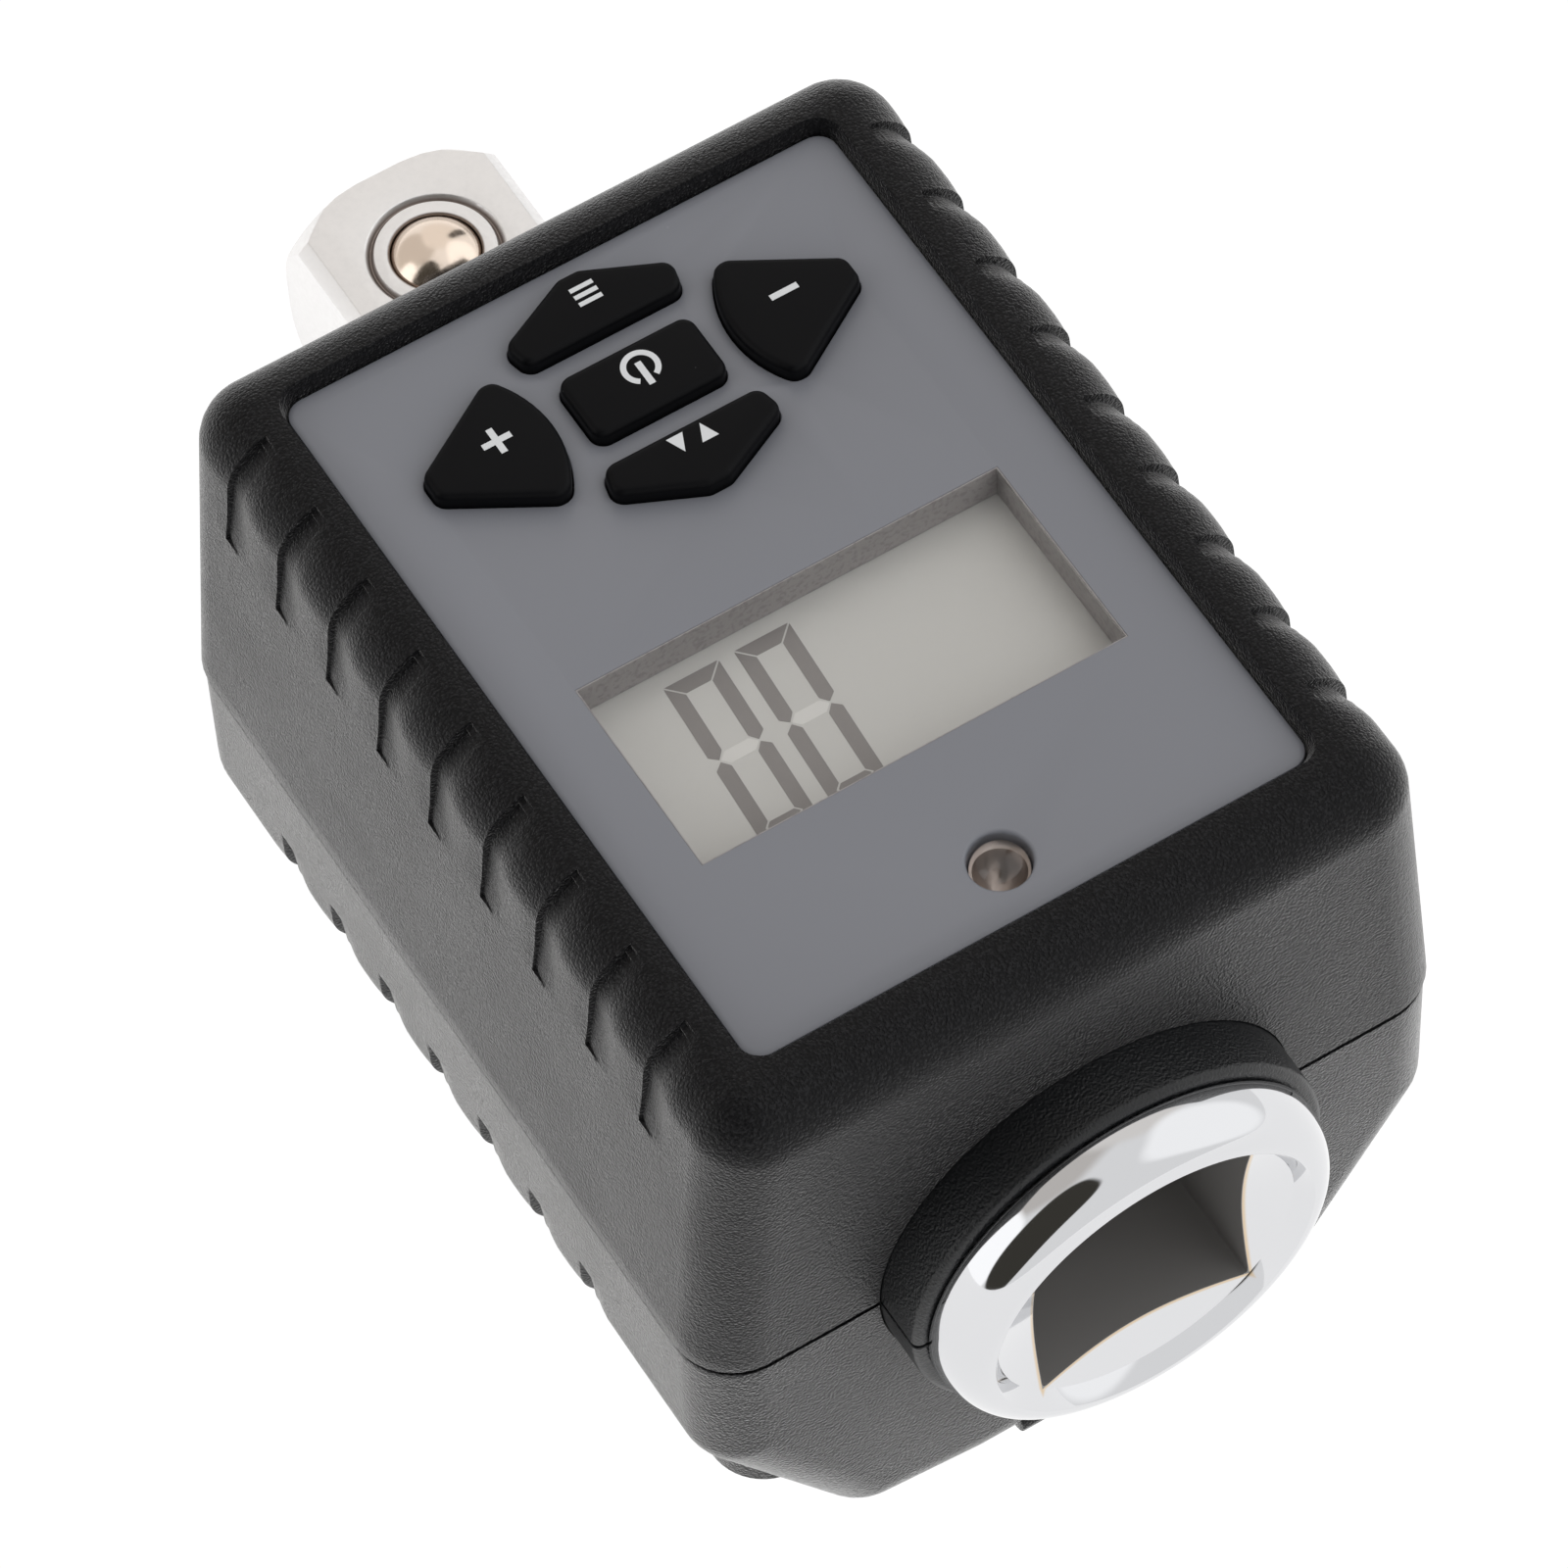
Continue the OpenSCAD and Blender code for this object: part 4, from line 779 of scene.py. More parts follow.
def ring_shade_group():
    """Mask of the painted shade round the ball: dark lines in its ring groove and at the edge of its pocket.
    """
    tree, enter, leave = group("ball rings", [("Place", "Float", 0.0), ("Height", "Float", 0.0)],
                               [("Line", "Float")])
    split = add(tree, "SeparateXYZ", in_0=on_object(tree))
    along = calc(tree, "SUBTRACT", split.outputs["Y"], enter.outputs["Place"])
    flat = add(tree, "CombineXYZ", in_X=split.outputs["X"], in_Y=along).outputs[0]
    far = add(tree, "VectorMath", operation="LENGTH", in_0=flat).outputs["Value"]
    lines = []
    for radius, width in ((3.68 * MM, 0.26 * MM), (2.60 * MM, 0.14 * MM)):
        off = calc(tree, "ABSOLUTE", calc(tree, "SUBTRACT", far, radius))
        lines.append(fade(tree, off, width, 0.3 * width))
    above = calc(tree, "GREATER_THAN", split.outputs["Z"], enter.outputs["Height"])
    tree.links.new(calc(tree, "MULTIPLY", calc(tree, "ADD", *lines), above), leave.inputs["Line"])
    return tree


GROUP_MAKERS = {"moulded grain": grain_group, "specks": dust_group, "square bore": bore_group,
                "ball rings": ring_shade_group}


# ---------------------------------------------------------------- finishes

def put(tree, name, **values):
    """Places a node group, made when it is first asked for, with its own values."""
    node = tree.nodes.new("ShaderNodeGroup")
    node.node_tree = bpy.data.node_groups.get(name) or GROUP_MAKERS[name]()
    for key, value in values.items():
        node.inputs[key].default_value = value
    return node


def finish(name, base, rough, metal=0.0, **plain):
    """A material with a Principled shader; plain holds numbers for its other sockets."""
    material = bpy.data.materials.new(name)
    material.use_nodes = True
    tree = material.node_tree
    shader = tree.nodes["Principled BSDF"]
    shader.inputs["Base Color"].default_value = base
    shader.inputs["Roughness"].default_value = rough
    shader.inputs["Metallic"].default_value = metal
    for key, value in plain.items():
        shader.inputs[key.replace("_", " ")].default_value = value
    material.diffuse_color = base
    return material, tree, shader


def drive(tree, shader, colour=None, rough=None, high=None):
    """Links sockets to a shader's base colour and roughness, and a (height, distance) pair to its normal."""
    if colour:
        tree.links.new(colour, shader.inputs["Base Color"])
    if rough:
        tree.links.new(rough, shader.inputs["Roughness"])
    if high:
        bump = add(tree, "Bump", in_Height=high[0], in_Distance=high[1], in_Strength=1.0)
        tree.links.new(bump.outputs["Normal"], shader.inputs["Normal"])


# the flecks are painted glints of the grain
FLECKS = 0.55           # how much the flecks of a moulding show


def moulded(name, base, fleck, rough, size=0.16 * MM, high=0.042 * MM, **plain):
    """Grained black moulding with lighter flecks, painted glints on the raised grain, and uneven sheen."""
    material, tree, shader = finish(name, base, rough, **plain)
    grain = put(tree, "moulded grain", Size=size)
    part = calc(tree, "MULTIPLY", grain.outputs["Fleck"], FLECKS)
    drive(tree, shader, blend_colour(tree, part, base, fleck),
          fade(tree, grain.outputs["Cloud"], 0.3, 0.7, rough - 0.05, rough + 0.05),
          (grain.outputs["Height"], high))
    return material


def coated(name, base, rough):
    """Satin black coating with soft mottling."""
    material, tree, shader = finish(name, base, rough, Specular_IOR_Level=0.42)
    grain = put(tree, "moulded grain", Size=0.16 * MM)
    drive(tree, shader, None, fade(tree, grain.outputs["Cloud"], 0.3, 0.7, rough - 0.04, rough + 0.05),
          (grain.outputs["Height"], 0.022 * MM))
    return material


def speckled(name, base, speck, rough, amount=0.5, size=0.9 * MM, high=0.004 * MM, **plain):
    """A plain painted or rubbery finish with sparse specks and faint scuffs."""
    material, tree, shader = finish(name, base, rough, **plain)
    dust = put(tree, "specks", Size=size, Amount=amount)
    drive(tree, shader, blend_colour(tree, dust.outputs["Speck"], base, speck),
          fade(tree, dust.outputs["Scuff"], 0.0, 1.0, rough, rough + 0.06), (dust.outputs["Scuff"], high))
    return material


def brushed(name, base, rough, along=(1.0, 1.0, 1.0), high=0.002 * MM):
    """Bare metal with fine lines, drawn out along the axis with the small scale."""
    material, tree, shader = finish(name, base, rough, 1.0)
    drawn = add(tree, "Mapping", in_Vector=on_object(tree), in_Scale=along).outputs[0]
    lines = add(tree, "TexNoise", in_Vector=drawn, in_Scale=4000.0, in_Detail=3.0).outputs["Fac"]
    drive(tree, shader, None, fade(tree, lines, 0.3, 0.7, rough * 0.8, rough * 1.25), (lines, high))
    return material


def drive_steel(name, base, dark):
    """Satin steel of the drive, with painted shade as dark lines in the groove and the gap round the ball."""
    d = settings("drive")
    material = brushed(name, base, 0.45, high=0.0012 * MM)
    tree = material.node_tree
    ring_shade = put(tree, "ball rings", Place=MIDDLE.y + d.end - d.ball_back,
                Height=MIDDLE.z + d.square - 0.6 * MM)
    # painted shade: dark lines in the ball's groove and gap
    drive(tree, tree.nodes["Principled BSDF"], blend_colour(tree, ring_shade.outputs["Line"], base, dark))
    return material


def clear(name, tint, rough, ior):
    """Clear plastic that lets light through to what lies under it."""
    material, tree, shader = finish(name, tint, rough, Transmission_Weight=1.0, IOR=ior)
    haze = add(tree, "TexNoise", in_Vector=on_object(tree), in_Scale=300.0).outputs["Fac"]
    drive(tree, shader, None, fade(tree, haze, 0.0, 1.0, rough, rough + 0.03))
    through = add(tree, "BsdfTransparent", in_Color=tint)
    show_instead(tree, "Is Shadow Ray", shader, through)
    return material


def show_instead(tree, kind, usual, other):
    """Rays of one kind see another shader than the usual one."""
    output = tree.nodes.get("Material Output") or tree.nodes["World Output"]
    mix = add(tree, "MixShader", in_0=add(tree, "LightPath").outputs[kind], in_1=usual.outputs[0],
              in_2=other.outputs[0])
    tree.links.new(mix.outputs[0], output.inputs["Surface"])


def polished(name, base, rough, wall, worn):
    """Bright plating with a very slight wave; the walls of the square socket inside are satin and painted
    darker as shade, with a painted warm highlight along their edges.
    """
    d = settings("drive")
    material, tree, shader = finish(name, base, rough, 1.0)
    bore = put(tree, "square bore", Half=d.socket, Front=MIDDLE.y + d.lip, Axis=MIDDLE.z)
    # painted warm highlight along the socket's edges
    with_edge_highlight = blend_colour(tree, bore.outputs["Edge"], base, worn)
    wave = add(tree, "TexNoise", in_Vector=on_object(tree), in_Scale=180.0, in_Detail=1.0)
    # painted shade on the socket's walls
    drive(tree, shader, blend_colour(tree, bore.outputs["Wall"], with_edge_highlight, wall),
          fade(tree, bore.outputs["Wall"], 0.0, 1.0, rough, 0.42), (wave.outputs["Fac"], 0.012 * MM))
    tree.links.new(fade(tree, bore.outputs["Wall"], 0.0, 1.0, 1.0, 0.35), shader.inputs["Metallic"])
    return material


def wrapped(name, base, band):
    """Plain wrap of a cell with a pale band round each end."""
    material, tree, shader = finish(name, base, 0.3)
    along = calc(tree, "ABSOLUTE", add(tree, "SeparateXYZ", in_0=on_object(tree)).outputs["Y"])
    drive(tree, shader, blend_colour(tree, fade(tree, along, 17.0 * MM, 17.1 * MM), base, band))
    return material


def masked_board(name, base, track):
    """Green solder mask with faint tracks under it."""
    material, tree, shader = finish(name, base, 0.32)
    tracks = add(tree, "TexBrick", in_Vector=on_object(tree), in_Scale=260.0, in_Color1=(0, 0, 0, 1),
                 in_Color2=(0, 0, 0, 1), in_Mortar=(1, 1, 1, 1), in_Mortar_Size=0.05)
    drive(tree, shader, blend_colour(tree, tracks.outputs["Color"], base, track), None,
          (tracks.outputs["Fac"], 0.02 * MM))
    return material


def display_face(name, base):
    """Reflective display: fine tooth and a slow change of tone."""
    material, tree, shader = finish(name, base, 0.34)
    place = on_object(tree)
    slow = add(tree, "TexNoise", in_Vector=place, in_Scale=55.0, in_Detail=1.0)
    fine = add(tree, "TexNoise", in_Vector=place, in_Scale=9000.0)
    drive(tree, shader, blend_colour(tree, slow.outputs["Fac"], base, lighter(base, 1.10)), None,
          (fine.outputs["Fac"], 0.002 * MM))
    return material


def lighter(colour, times):
    return tuple(min(1, v * times) for v in colour[:3]) + (1,)


FINISHES = {}


def grey(tone, blue=None):
    return (tone, tone, tone if blue is None else blue, 1)


def make_finishes():
    colours = settings("finish")
    c = {key: tuple(getattr(colours, key)) for key in FinishColours.__annotations__}
    sheen = {"Sheen_Roughness": 0.32}
    FINISHES.update({
        "shell": moulded("black grained moulding", c["shell"], c["shell_fleck"], 0.28,
                         Specular_IOR_Level=0.13, Sheen_Weight=0.46, **sheen),
        # a lit copy of the shell finish: its stronger sheen and specular are painted light that brightens the
        # lower half and the door
        "shell_lit_lower": moulded("black grained lower moulding", c["shell"], c["shell_fleck"], 0.28,
                             Specular_IOR_Level=0.2, Sheen_Weight=0.92, **sheen),
        "collar": coated("satin collar coating", c["collar"], 0.36),
        "bush": moulded("plain black moulding", grey(0.022, 0.023), grey(0.03, 0.032), 0.5,
                        0.4 * MM, 0.006 * MM),
        "panel": speckled("satin grey panel", c["panel"], lighter(c["panel"], 1.7), 0.36, 0.55, 2.2 * MM),
        "key": speckled("matt key rubber", c["key"], grey(0.09), 0.42, 0.35, 1.3 * MM, 0.01 * MM,
                        Specular_IOR_Level=0.09),
        "print": speckled("white print", c["print_white"], grey(0.5), 0.5, 0.3),
        # bright plating with painted shade in the socket and a painted highlight along its edges
        "chrome": polished("bright plating", c["chrome"], 0.05, c["bore"], c["worn"]),
        # the dark colour given here is the painted shade round the ball
        "nickel": drive_steel("satin drive steel", c["nickel"], (0.26, 0.22, 0.20, 1)),
        # steel whose warm tone is a painted reflection of the warm surroundings
        "ball": brushed("warm ball steel", c["ball"], 0.18, high=0.0002 * MM),
        "display": display_face("display face", c["display"]),
        "segment": speckled("display segment", c["segment"], (0.3, 0.28, 0.27, 1), 0.4, 0.2),
        "unlit": speckled("unlit segment", lighter(c["display"], 1.25), grey(0.4), 0.4, 0.2),
        "brown": moulded("display frame moulding", c["frame_brown"], (0.23, 0.215, 0.215, 1), 0.6,
                         0.3 * MM, 0.004 * MM),
        "window": clear("clear window", grey(0.98, 0.97), 0.02, 1.03),
        "lamp": clear("smoky lamp lens", c["lamp"], 0.05, 1.45),
        "lamp_cup": brushed("lamp reflector", (0.62, 0.55, 0.5, 1), 0.35),
        "steel": brushed("drawn steel", grey(0.5, 0.52), 0.35, (1.0, 0.2, 1.0)),
        "foil": brushed("gauge foil", (0.72, 0.45, 0.18, 1), 0.4, (6.0, 0.5, 1.0)),
        "lead": speckled("red lead insulation", (0.42, 0.02, 0.015, 1), (0.6, 0.1, 0.1, 1), 0.4, 0.2),
        "tape": speckled("black foam tape", grey(0.012), grey(0.05), 0.9),
        "white": speckled("white reflector", grey(0.8, 0.78), grey(0.7, 0.68), 0.45, 0.3),
        "strip": speckled("contact rubber", (0.6, 0.25, 0.3, 1), grey(0.2), 0.6, 0.8, 0.3 * MM),
        "dome": brushed("snap dome steel", grey(0.72, 0.73), 0.25),
        "board": masked_board("green solder mask", (0.012, 0.09, 0.035, 1), (0.02, 0.17, 0.06, 1)),
        "chip": moulded("chip moulding", grey(0.018), grey(0.04), 0.55, 0.2 * MM, 0.004 * MM),
        "screw": brushed("zinc screw steel", grey(0.42, 0.44), 0.32),
        "tray": moulded("tray moulding", grey(0.024, 0.025), grey(0.035, 0.036), 0.48, 0.5 * MM, 0.005 * MM),
        "cell": wrapped("blue cell wrap", (0.02, 0.09, 0.28, 1), (0.6, 0.62, 0.65, 1)),
        "contact": brushed("plated contact", (0.72, 0.68, 0.6, 1), 0.3),
    })


# The CAD nodes that stay in view, and the finish that each gets
KEPT_NODES = {
    "retaining_ring": "steel", "detent_spring": "steel", "strain_gauges": "foil", "gauge_leads": "lead",
    "panel_tape": "tape", "display_reflector": "white", "contact_strips": "strip", "keypad_mat": "key",
    "key_domes": "dome", "circuit_board": "board", "main_chip": "chip", "buzzer": "chip",
    "board_screws": "screw", "case_screws": "screw", "battery_tray": "tray", "cell_left": "cell",
    "cell_right": "cell", "contact_plates": "contact", "contact_springs": "contact",
    "battery_leads": "lead",
}


# ---------------------------------------------------------------- operators, one for each piece or group

class ADAPTER_OT_finishes(bpy.types.Operator):
    """Makes the materials and gives the inner CAD pieces theirs"""
    bl_idname = "adapter.finishes"
    bl_label = "Finishes"

    def execute(self, context):
        make_finishes()
        for node, key in KEPT_NODES.items():
            ob = NODES[node]
            if not ob.data.materials:
                ob.data.materials.append(None)
            for slot in ob.material_slots:
                slot.material = FINISHES[key]
        return {"FINISHED"}


def section_outline(half_bottom, half_top, bottom, top):
    return [(half_bottom, bottom), (half_top, top), (-half_top, top), (-half_bottom, bottom)]


def end_holes():
    """Cutters for the collar's hole in the front wall and the bush's hole in the rear wall."""
    b = settings("body")
    deep = b.wall + MM
    return [prism(name, circle_outline(radius + 0.08 * MM, steps=96), place - deep, place + deep, "Y")
            for name, radius, place in (("collar_hole", b.collar, -b.half_length),
                                        ("bush_hole", b.bush, b.half_length))]


def frame_block(name, half_w, half_l, y, grow, low, high):
    """A block round the place of the display, grown on all four sides."""
    return block(name, (-half_w - grow, y - half_l - grow, low), (half_w + grow, y + half_l + grow, high))


class ADAPTER_OT_upper_shell(bpy.types.Operator):
    """Models the upper shell: rounded edges, grip grooves, panel recess and openings"""
    bl_idname = "adapter.upper_shell"
    bl_label = "Upper shell"

    def execute(self, context):
        b, g, p = settings("body"), settings("grip"), settings("panel")
        shell = body_surface("upper_shell_skin", upper_stations(), groove_rows(g.upper_count, g.upper_y),
                             b.half_length)
        low = p.top - p.thick
        ceiling = low - 1.7 * MM
        side = b.half_width - b.lean * ceiling / (b.rim - b.edge) - b.wall
        inner = b.half_length - b.wall
        recess = box_outline(p.half_width + 0.14 * MM, p.half_length + 0.14 * MM, p.corner + 0.1 * MM,
                             p.middle)
        slope = box_outline(p.half_width + 0.57 * MM, p.half_length + 0.87 * MM, p.corner + 0.5 * MM,
                            p.middle - 0.2 * MM)
        cutters = [
            prism("cavity", section_outline(b.half_width - b.wall, side, -MM, ceiling), -inner, inner, "Y"),
            prism("recess", recess, low - 0.2 * MM, b.rim + MM),
            prism("recess_edge", recess, p.top + 0.03 * MM, b.rim + MM, upper=slope),
            frame_block("frame_hole", p.window_width, p.window_length, p.window_y, 2.85 * MM,
                        ceiling - MM, low),
            prism("lamp_hole", circle_outline(p.lamp_radius + 0.05 * MM, y=p.lamp_y), ceiling - MM, low),
        ] + end_holes()
        cutters += [prism("key_hole", key_outline(key, 0.3 * MM), ceiling - MM, low) for key in KEYS]
        carve(shell, *cutters)

        def round_recess(e):
            a, c = (v.co - MIDDLE for v in e.verts)
            if min(a.z, c.z) <= b.rim - LEVEL or len(e.link_faces) != 2:
                return False
            return e.calc_face_angle(0) > SHARP and max(abs(a.x), abs(c.x)) < p.half_width + 0.6 * MM

        bevel(shell, round_recess, 0.08 * MM)
        done(shell, "shell", "shell_plastic", "upper_shell", angle=38)
        return {"FINISHED"}


class ADAPTER_OT_lower_shell(bpy.types.Operator):
    """Models the lower shell: flanks, bowed belly, grip grooves, door opening and screw wells"""
    bl_idname = "adapter.lower_shell"
    bl_label = "Lower shell"

    def execute(self, context):
        b, g = settings("body"), settings("grip")
        half = b.half_width - b.step
        long = b.half_length - 0.02 * MM
        shell = body_surface("lower_shell_skin", lower_stations(),
                             groove_rows(g.lower_count, g.lower_y, True), long)
        turn = -(b.flank_top - b.wall * math.tan((math.pi / 2 - b.flank_slope) / 2))
        floor = -(b.belly - b.wall)
        floor_x = (half - b.wall / math.sin(b.flank_slope)
                   - (-floor - b.flank_top) / math.tan(b.flank_slope))
        inner = long - b.wall
        side = half - b.wall
        section = [(side, MM), (side, turn), (floor_x, floor), (-floor_x, floor), (-side, turn), (-side, MM)]
        carve(shell, prism("cavity", section, -inner, inner, "Y"))
        lip = prism("lip", box_outline(side + 0.1 * MM, inner + 0.1 * MM, 1.2 * MM), -2 * MM, MM)
        inside = box_outline(side - 0.7 * MM, inner - 0.7 * MM, 0.8 * MM)
        carve(lip, prism("lip_inside", inside, -3 * MM, 2 * MM))
        screws = [(sx * (b.half_width - 6.2 * MM), sy * (b.half_length - 5.9 * MM))
                  for sx in (-1, 1) for sy in (-1, 1)]
        posts = [prism("post", circle_outline(3.3 * MM, x, y, 48), -18.5 * MM, -b.seam) for x, y in screws]
        combine(shell, [lip] + posts, "UNION")
        door = -b.belly + 2.1 * MM
        front = -b.half_length + 5.1 * MM
        hinge = b.half_length - 7.9 * MM
        cutters = end_holes()
        for name, wide, first, last, top in (
                ("door_hole", 12.4 * MM, front - 0.3 * MM, hinge - 0.9 * MM, door),
                ("knuckle_hole", 6.3 * MM, hinge - 1.5 * MM, hinge + 1.05 * MM, door),
                ("latch_hole", 4.3 * MM, -b.half_length - MM, front, -b.belly + 2.6 * MM)):
            cutters.append(block(name, (-wide, first, -b.belly - MM), (wide, last, top)))
        for x, y in screws:
            cutters.append(prism("well", circle_outline(2.42 * MM, x, y, 48), -b.belly - MM, -b.flank_top))
            cutters.append(prism("bore", circle_outline(1.35 * MM, x, y, 32), -b.flank_top - MM, MM))
        carve(shell, *cutters)
        done(shell, "shell_lit_lower", "shell_plastic", "lower_shell", angle=38)
        return {"FINISHED"}


class ADAPTER_OT_collar(bpy.types.Operator):
    """Models the two collar halves and the rear bush"""
    bl_idname = "adapter.collar"
    bl_label = "Collar and bush"

    def execute(self, context):
        b, d = settings("body"), settings("drive")
        front = -b.half_length - d.collar_front
        back = -b.half_length + b.wall + 0.2 * MM
        r, e = b.collar, 0.5 * MM
        bore = 10.68 * MM
        edge = [(r - e + e * math.sin(a), front + e - e * math.cos(a)) for a in spread(0, math.pi / 2, 8)]
        ring = [(bore, front)] + edge + [
            (r, back), (14.15 * MM, back), (14.2 * MM, back + 0.05 * MM), (14.2 * MM, back + 1.8 * MM),
            (bore, back + 1.8 * MM)]
        far, gap, tray_top = 40 * MM, b.seam / 2, -10.85 * MM
        for name, low, high in (("collar_upper", -far, gap), ("collar_lower", -gap, far)):
            half = turned(name + "_shaped", ring, 128, loop=True)
            tidy(half)
            cutters = [block("other_side", (-far, -far, low), (far, far, high))]
            if name == "collar_lower":
                cutters.append(block("tray_room", (-far, -b.half_length + b.wall + 0.1 * MM, -far),
                                     (far, 0, tray_top)))
            carve(half, *cutters)
            soften(half, 0.06 * MM, 1, 50)
            done(half, "collar", "collar_coat", name)
        end = b.half_length + 0.4 * MM
        inner = b.half_length - b.wall - 2 * MM
        bore = 9.28 * MM
        ring = [(bore, inner), (12.6 * MM, inner), (12.6 * MM, inner + 1.8 * MM), (b.bush, inner + 1.8 * MM),
                (b.bush, end - 0.3 * MM), (b.bush - 0.1 * MM, end - 0.08 * MM), (b.bush - 0.3 * MM, end),
                (bore + 0.4 * MM, end), (bore, end - 0.4 * MM)]
        bush = tidy(turned("rear_bush_shaped", ring, 128, loop=True))
        carve(bush, block("tray_room", (-far, 0, -far), (far, b.half_length - b.wall - 0.1 * MM, tray_top)))
        done(bush, "bush", "bush_plastic", "rear_bush")
        return {"FINISHED"}


class ADAPTER_OT_socket(bpy.types.Operator):
    """Turns the socket head with its polished bead and cuts the square socket"""
    bl_idname = "adapter.socket"
    bl_label = "Socket"

    def execute(self, context):
        b, d = settings("body"), settings("drive")
        lip, r, q = d.lip, d.bead, d.bead_round
        back = -b.half_length - d.collar_front - 0.1 * MM
        shoulder = lip + 19 * MM
        far = lip + d.bead_long
        arc = [(r - q + q * math.sin(a), far - d.bead_long * math.cos(a)) for a in spread(0, math.pi / 2, 22)]
        mouth = r - q - 0.2 * MM
        corner = 9.16 * MM
        profile = [(0, lip + 1.2 * MM), (3 * MM, lip + 0.6 * MM), (mouth - 1.2 * MM, lip + 0.01 * MM),
                   (mouth, lip)] + arc[1:]
        profile += [(r - 0.02 * MM, back - 0.05 * MM), (r - 0.1 * MM, back),
                    (10.6 * MM, back), (10.6 * MM, shoulder), (7.5 * MM, shoulder + 2 * MM),
                    (7.5 * MM, 3 * MM), (0, 3 * MM)]
        head = turned("socket_head", profile, FINE)
        cone = turned("mouth_cone", [
            (0, lip - MM), (mouth + 0.5 * MM, lip - MM), (mouth + 0.12 * MM, lip - 0.02 * MM),
            (mouth, lip + 0.06 * MM), (corner, lip + 0.95 * MM), (d.socket - 0.1 * MM, lip + 1.85 * MM),
            (0, lip + 1.9 * MM)], FINE)
        relief = 0.32 * MM
        s = d.socket
        square = [(s, s - relief), (s - relief * 0.25, s - relief * 0.25), (s - relief, s)]
        bore = prism("bore", four_fold(square), lip - MM, lip + 17 * MM, "Y")
        dimples = []
        for k in range(4):
            a = k * math.pi / 2
            pit = turned("dimple", in_mm((0, -2.2), (1.6, -1.6), (2.25, 0), (1.6, 0.6), (0, 0.75)),
                         32, "Z", (0, lip + 9.5 * MM, s))
            for v in pit.data.vertices:
                x, z = v.co.x - MIDDLE.x, v.co.z - MIDDLE.z
                v.co.x = MIDDLE.x + x * math.cos(a) + z * math.sin(a)
                v.co.z = MIDDLE.z - x * math.sin(a) + z * math.cos(a)
            dimples.append(pit)
        carve(head, cone, bore, *dimples)
        done(head, "chrome", "plated_steel", "torque_shaft", angle=28)
        return {"FINISHED"}


class ADAPTER_OT_square_drive(bpy.types.Operator):
    """Models the journal and the square drive with its broken edges, tapered end and ball pocket"""
    bl_idname = "adapter.square_drive"
    bl_label = "Square drive"

    def execute(self, context):
        b, d = settings("body"), settings("drive")
        s, c, end = d.square, d.chamfer, d.end
        start_y = b.half_length - 3 * MM
        bar = prism("square_drive", four_fold([(s, s - c), (s - c, s)]), start_y, end, "Y")
        cone = turned("tip", [
            (0, start_y - MM), (20 * MM, start_y - MM), (9.144 * MM, end - 2.86 * MM),
            (7.366 * MM, end - 0.51 * MM), (6.9 * MM, end - 0.16 * MM), (6.48 * MM, end), (0, end)], 128)
        combine(bar, [cone], "INTERSECT")
        ball_y = end - d.ball_back
        ball_z = s + 1.2 * MM - d.ball
        pocket = turned("pocket", [
            (0, -3 * MM), (3.08 * MM, -3 * MM), (3.08 * MM, s - 0.9 * MM), (2.62 * MM, s - 0.30 * MM),
            (2.56 * MM, s - 0.12 * MM), (2.66 * MM, s + 0.01 * MM), (2.66 * MM, s + MM), (0, s + MM)],
            96, "Z", (0, ball_y, 0))
        groove = tidy(turned("ring_groove", [
            (3.44 * MM, s + MM), (3.44 * MM, s + 0.01 * MM), (3.50 * MM, s - 0.16 * MM),
            (3.60 * MM, s - 0.34 * MM), (3.70 * MM, s - 0.34 * MM), (3.84 * MM, s - 0.14 * MM),
            (3.96 * MM, s + 0.01 * MM), (3.96 * MM, s + MM)], 96, "Z", (0, ball_y, 0), loop=True))
        carve(bar, pocket, groove)
        soften(bar, 0.05 * MM, 2, 28)
        journal = turned("journal", [
            (0, 3 * MM), (7.5 * MM, 3 * MM), (7.5 * MM, b.half_length - 8.7 * MM),
            (9.2 * MM, b.half_length - 6.7 * MM), (9.2 * MM, b.half_length + 0.5 * MM),
            (8.9 * MM, b.half_length + 0.8 * MM), (0, b.half_length + 0.8 * MM)], 96)
        join(bar, journal)
        done(bar, "nickel", "plated_steel", "torque_shaft", angle=30)
        ball = turned("detent_ball_shaped", [
            (d.ball * math.sin(a), -d.ball * math.cos(a)) for a in spread(0, math.pi, 32)], 64, "Z",
            (0, ball_y, ball_z))
        done(ball, "ball", "ball_steel", "detent_ball", body="detent_ball", angle=60)
        return {"FINISHED"}


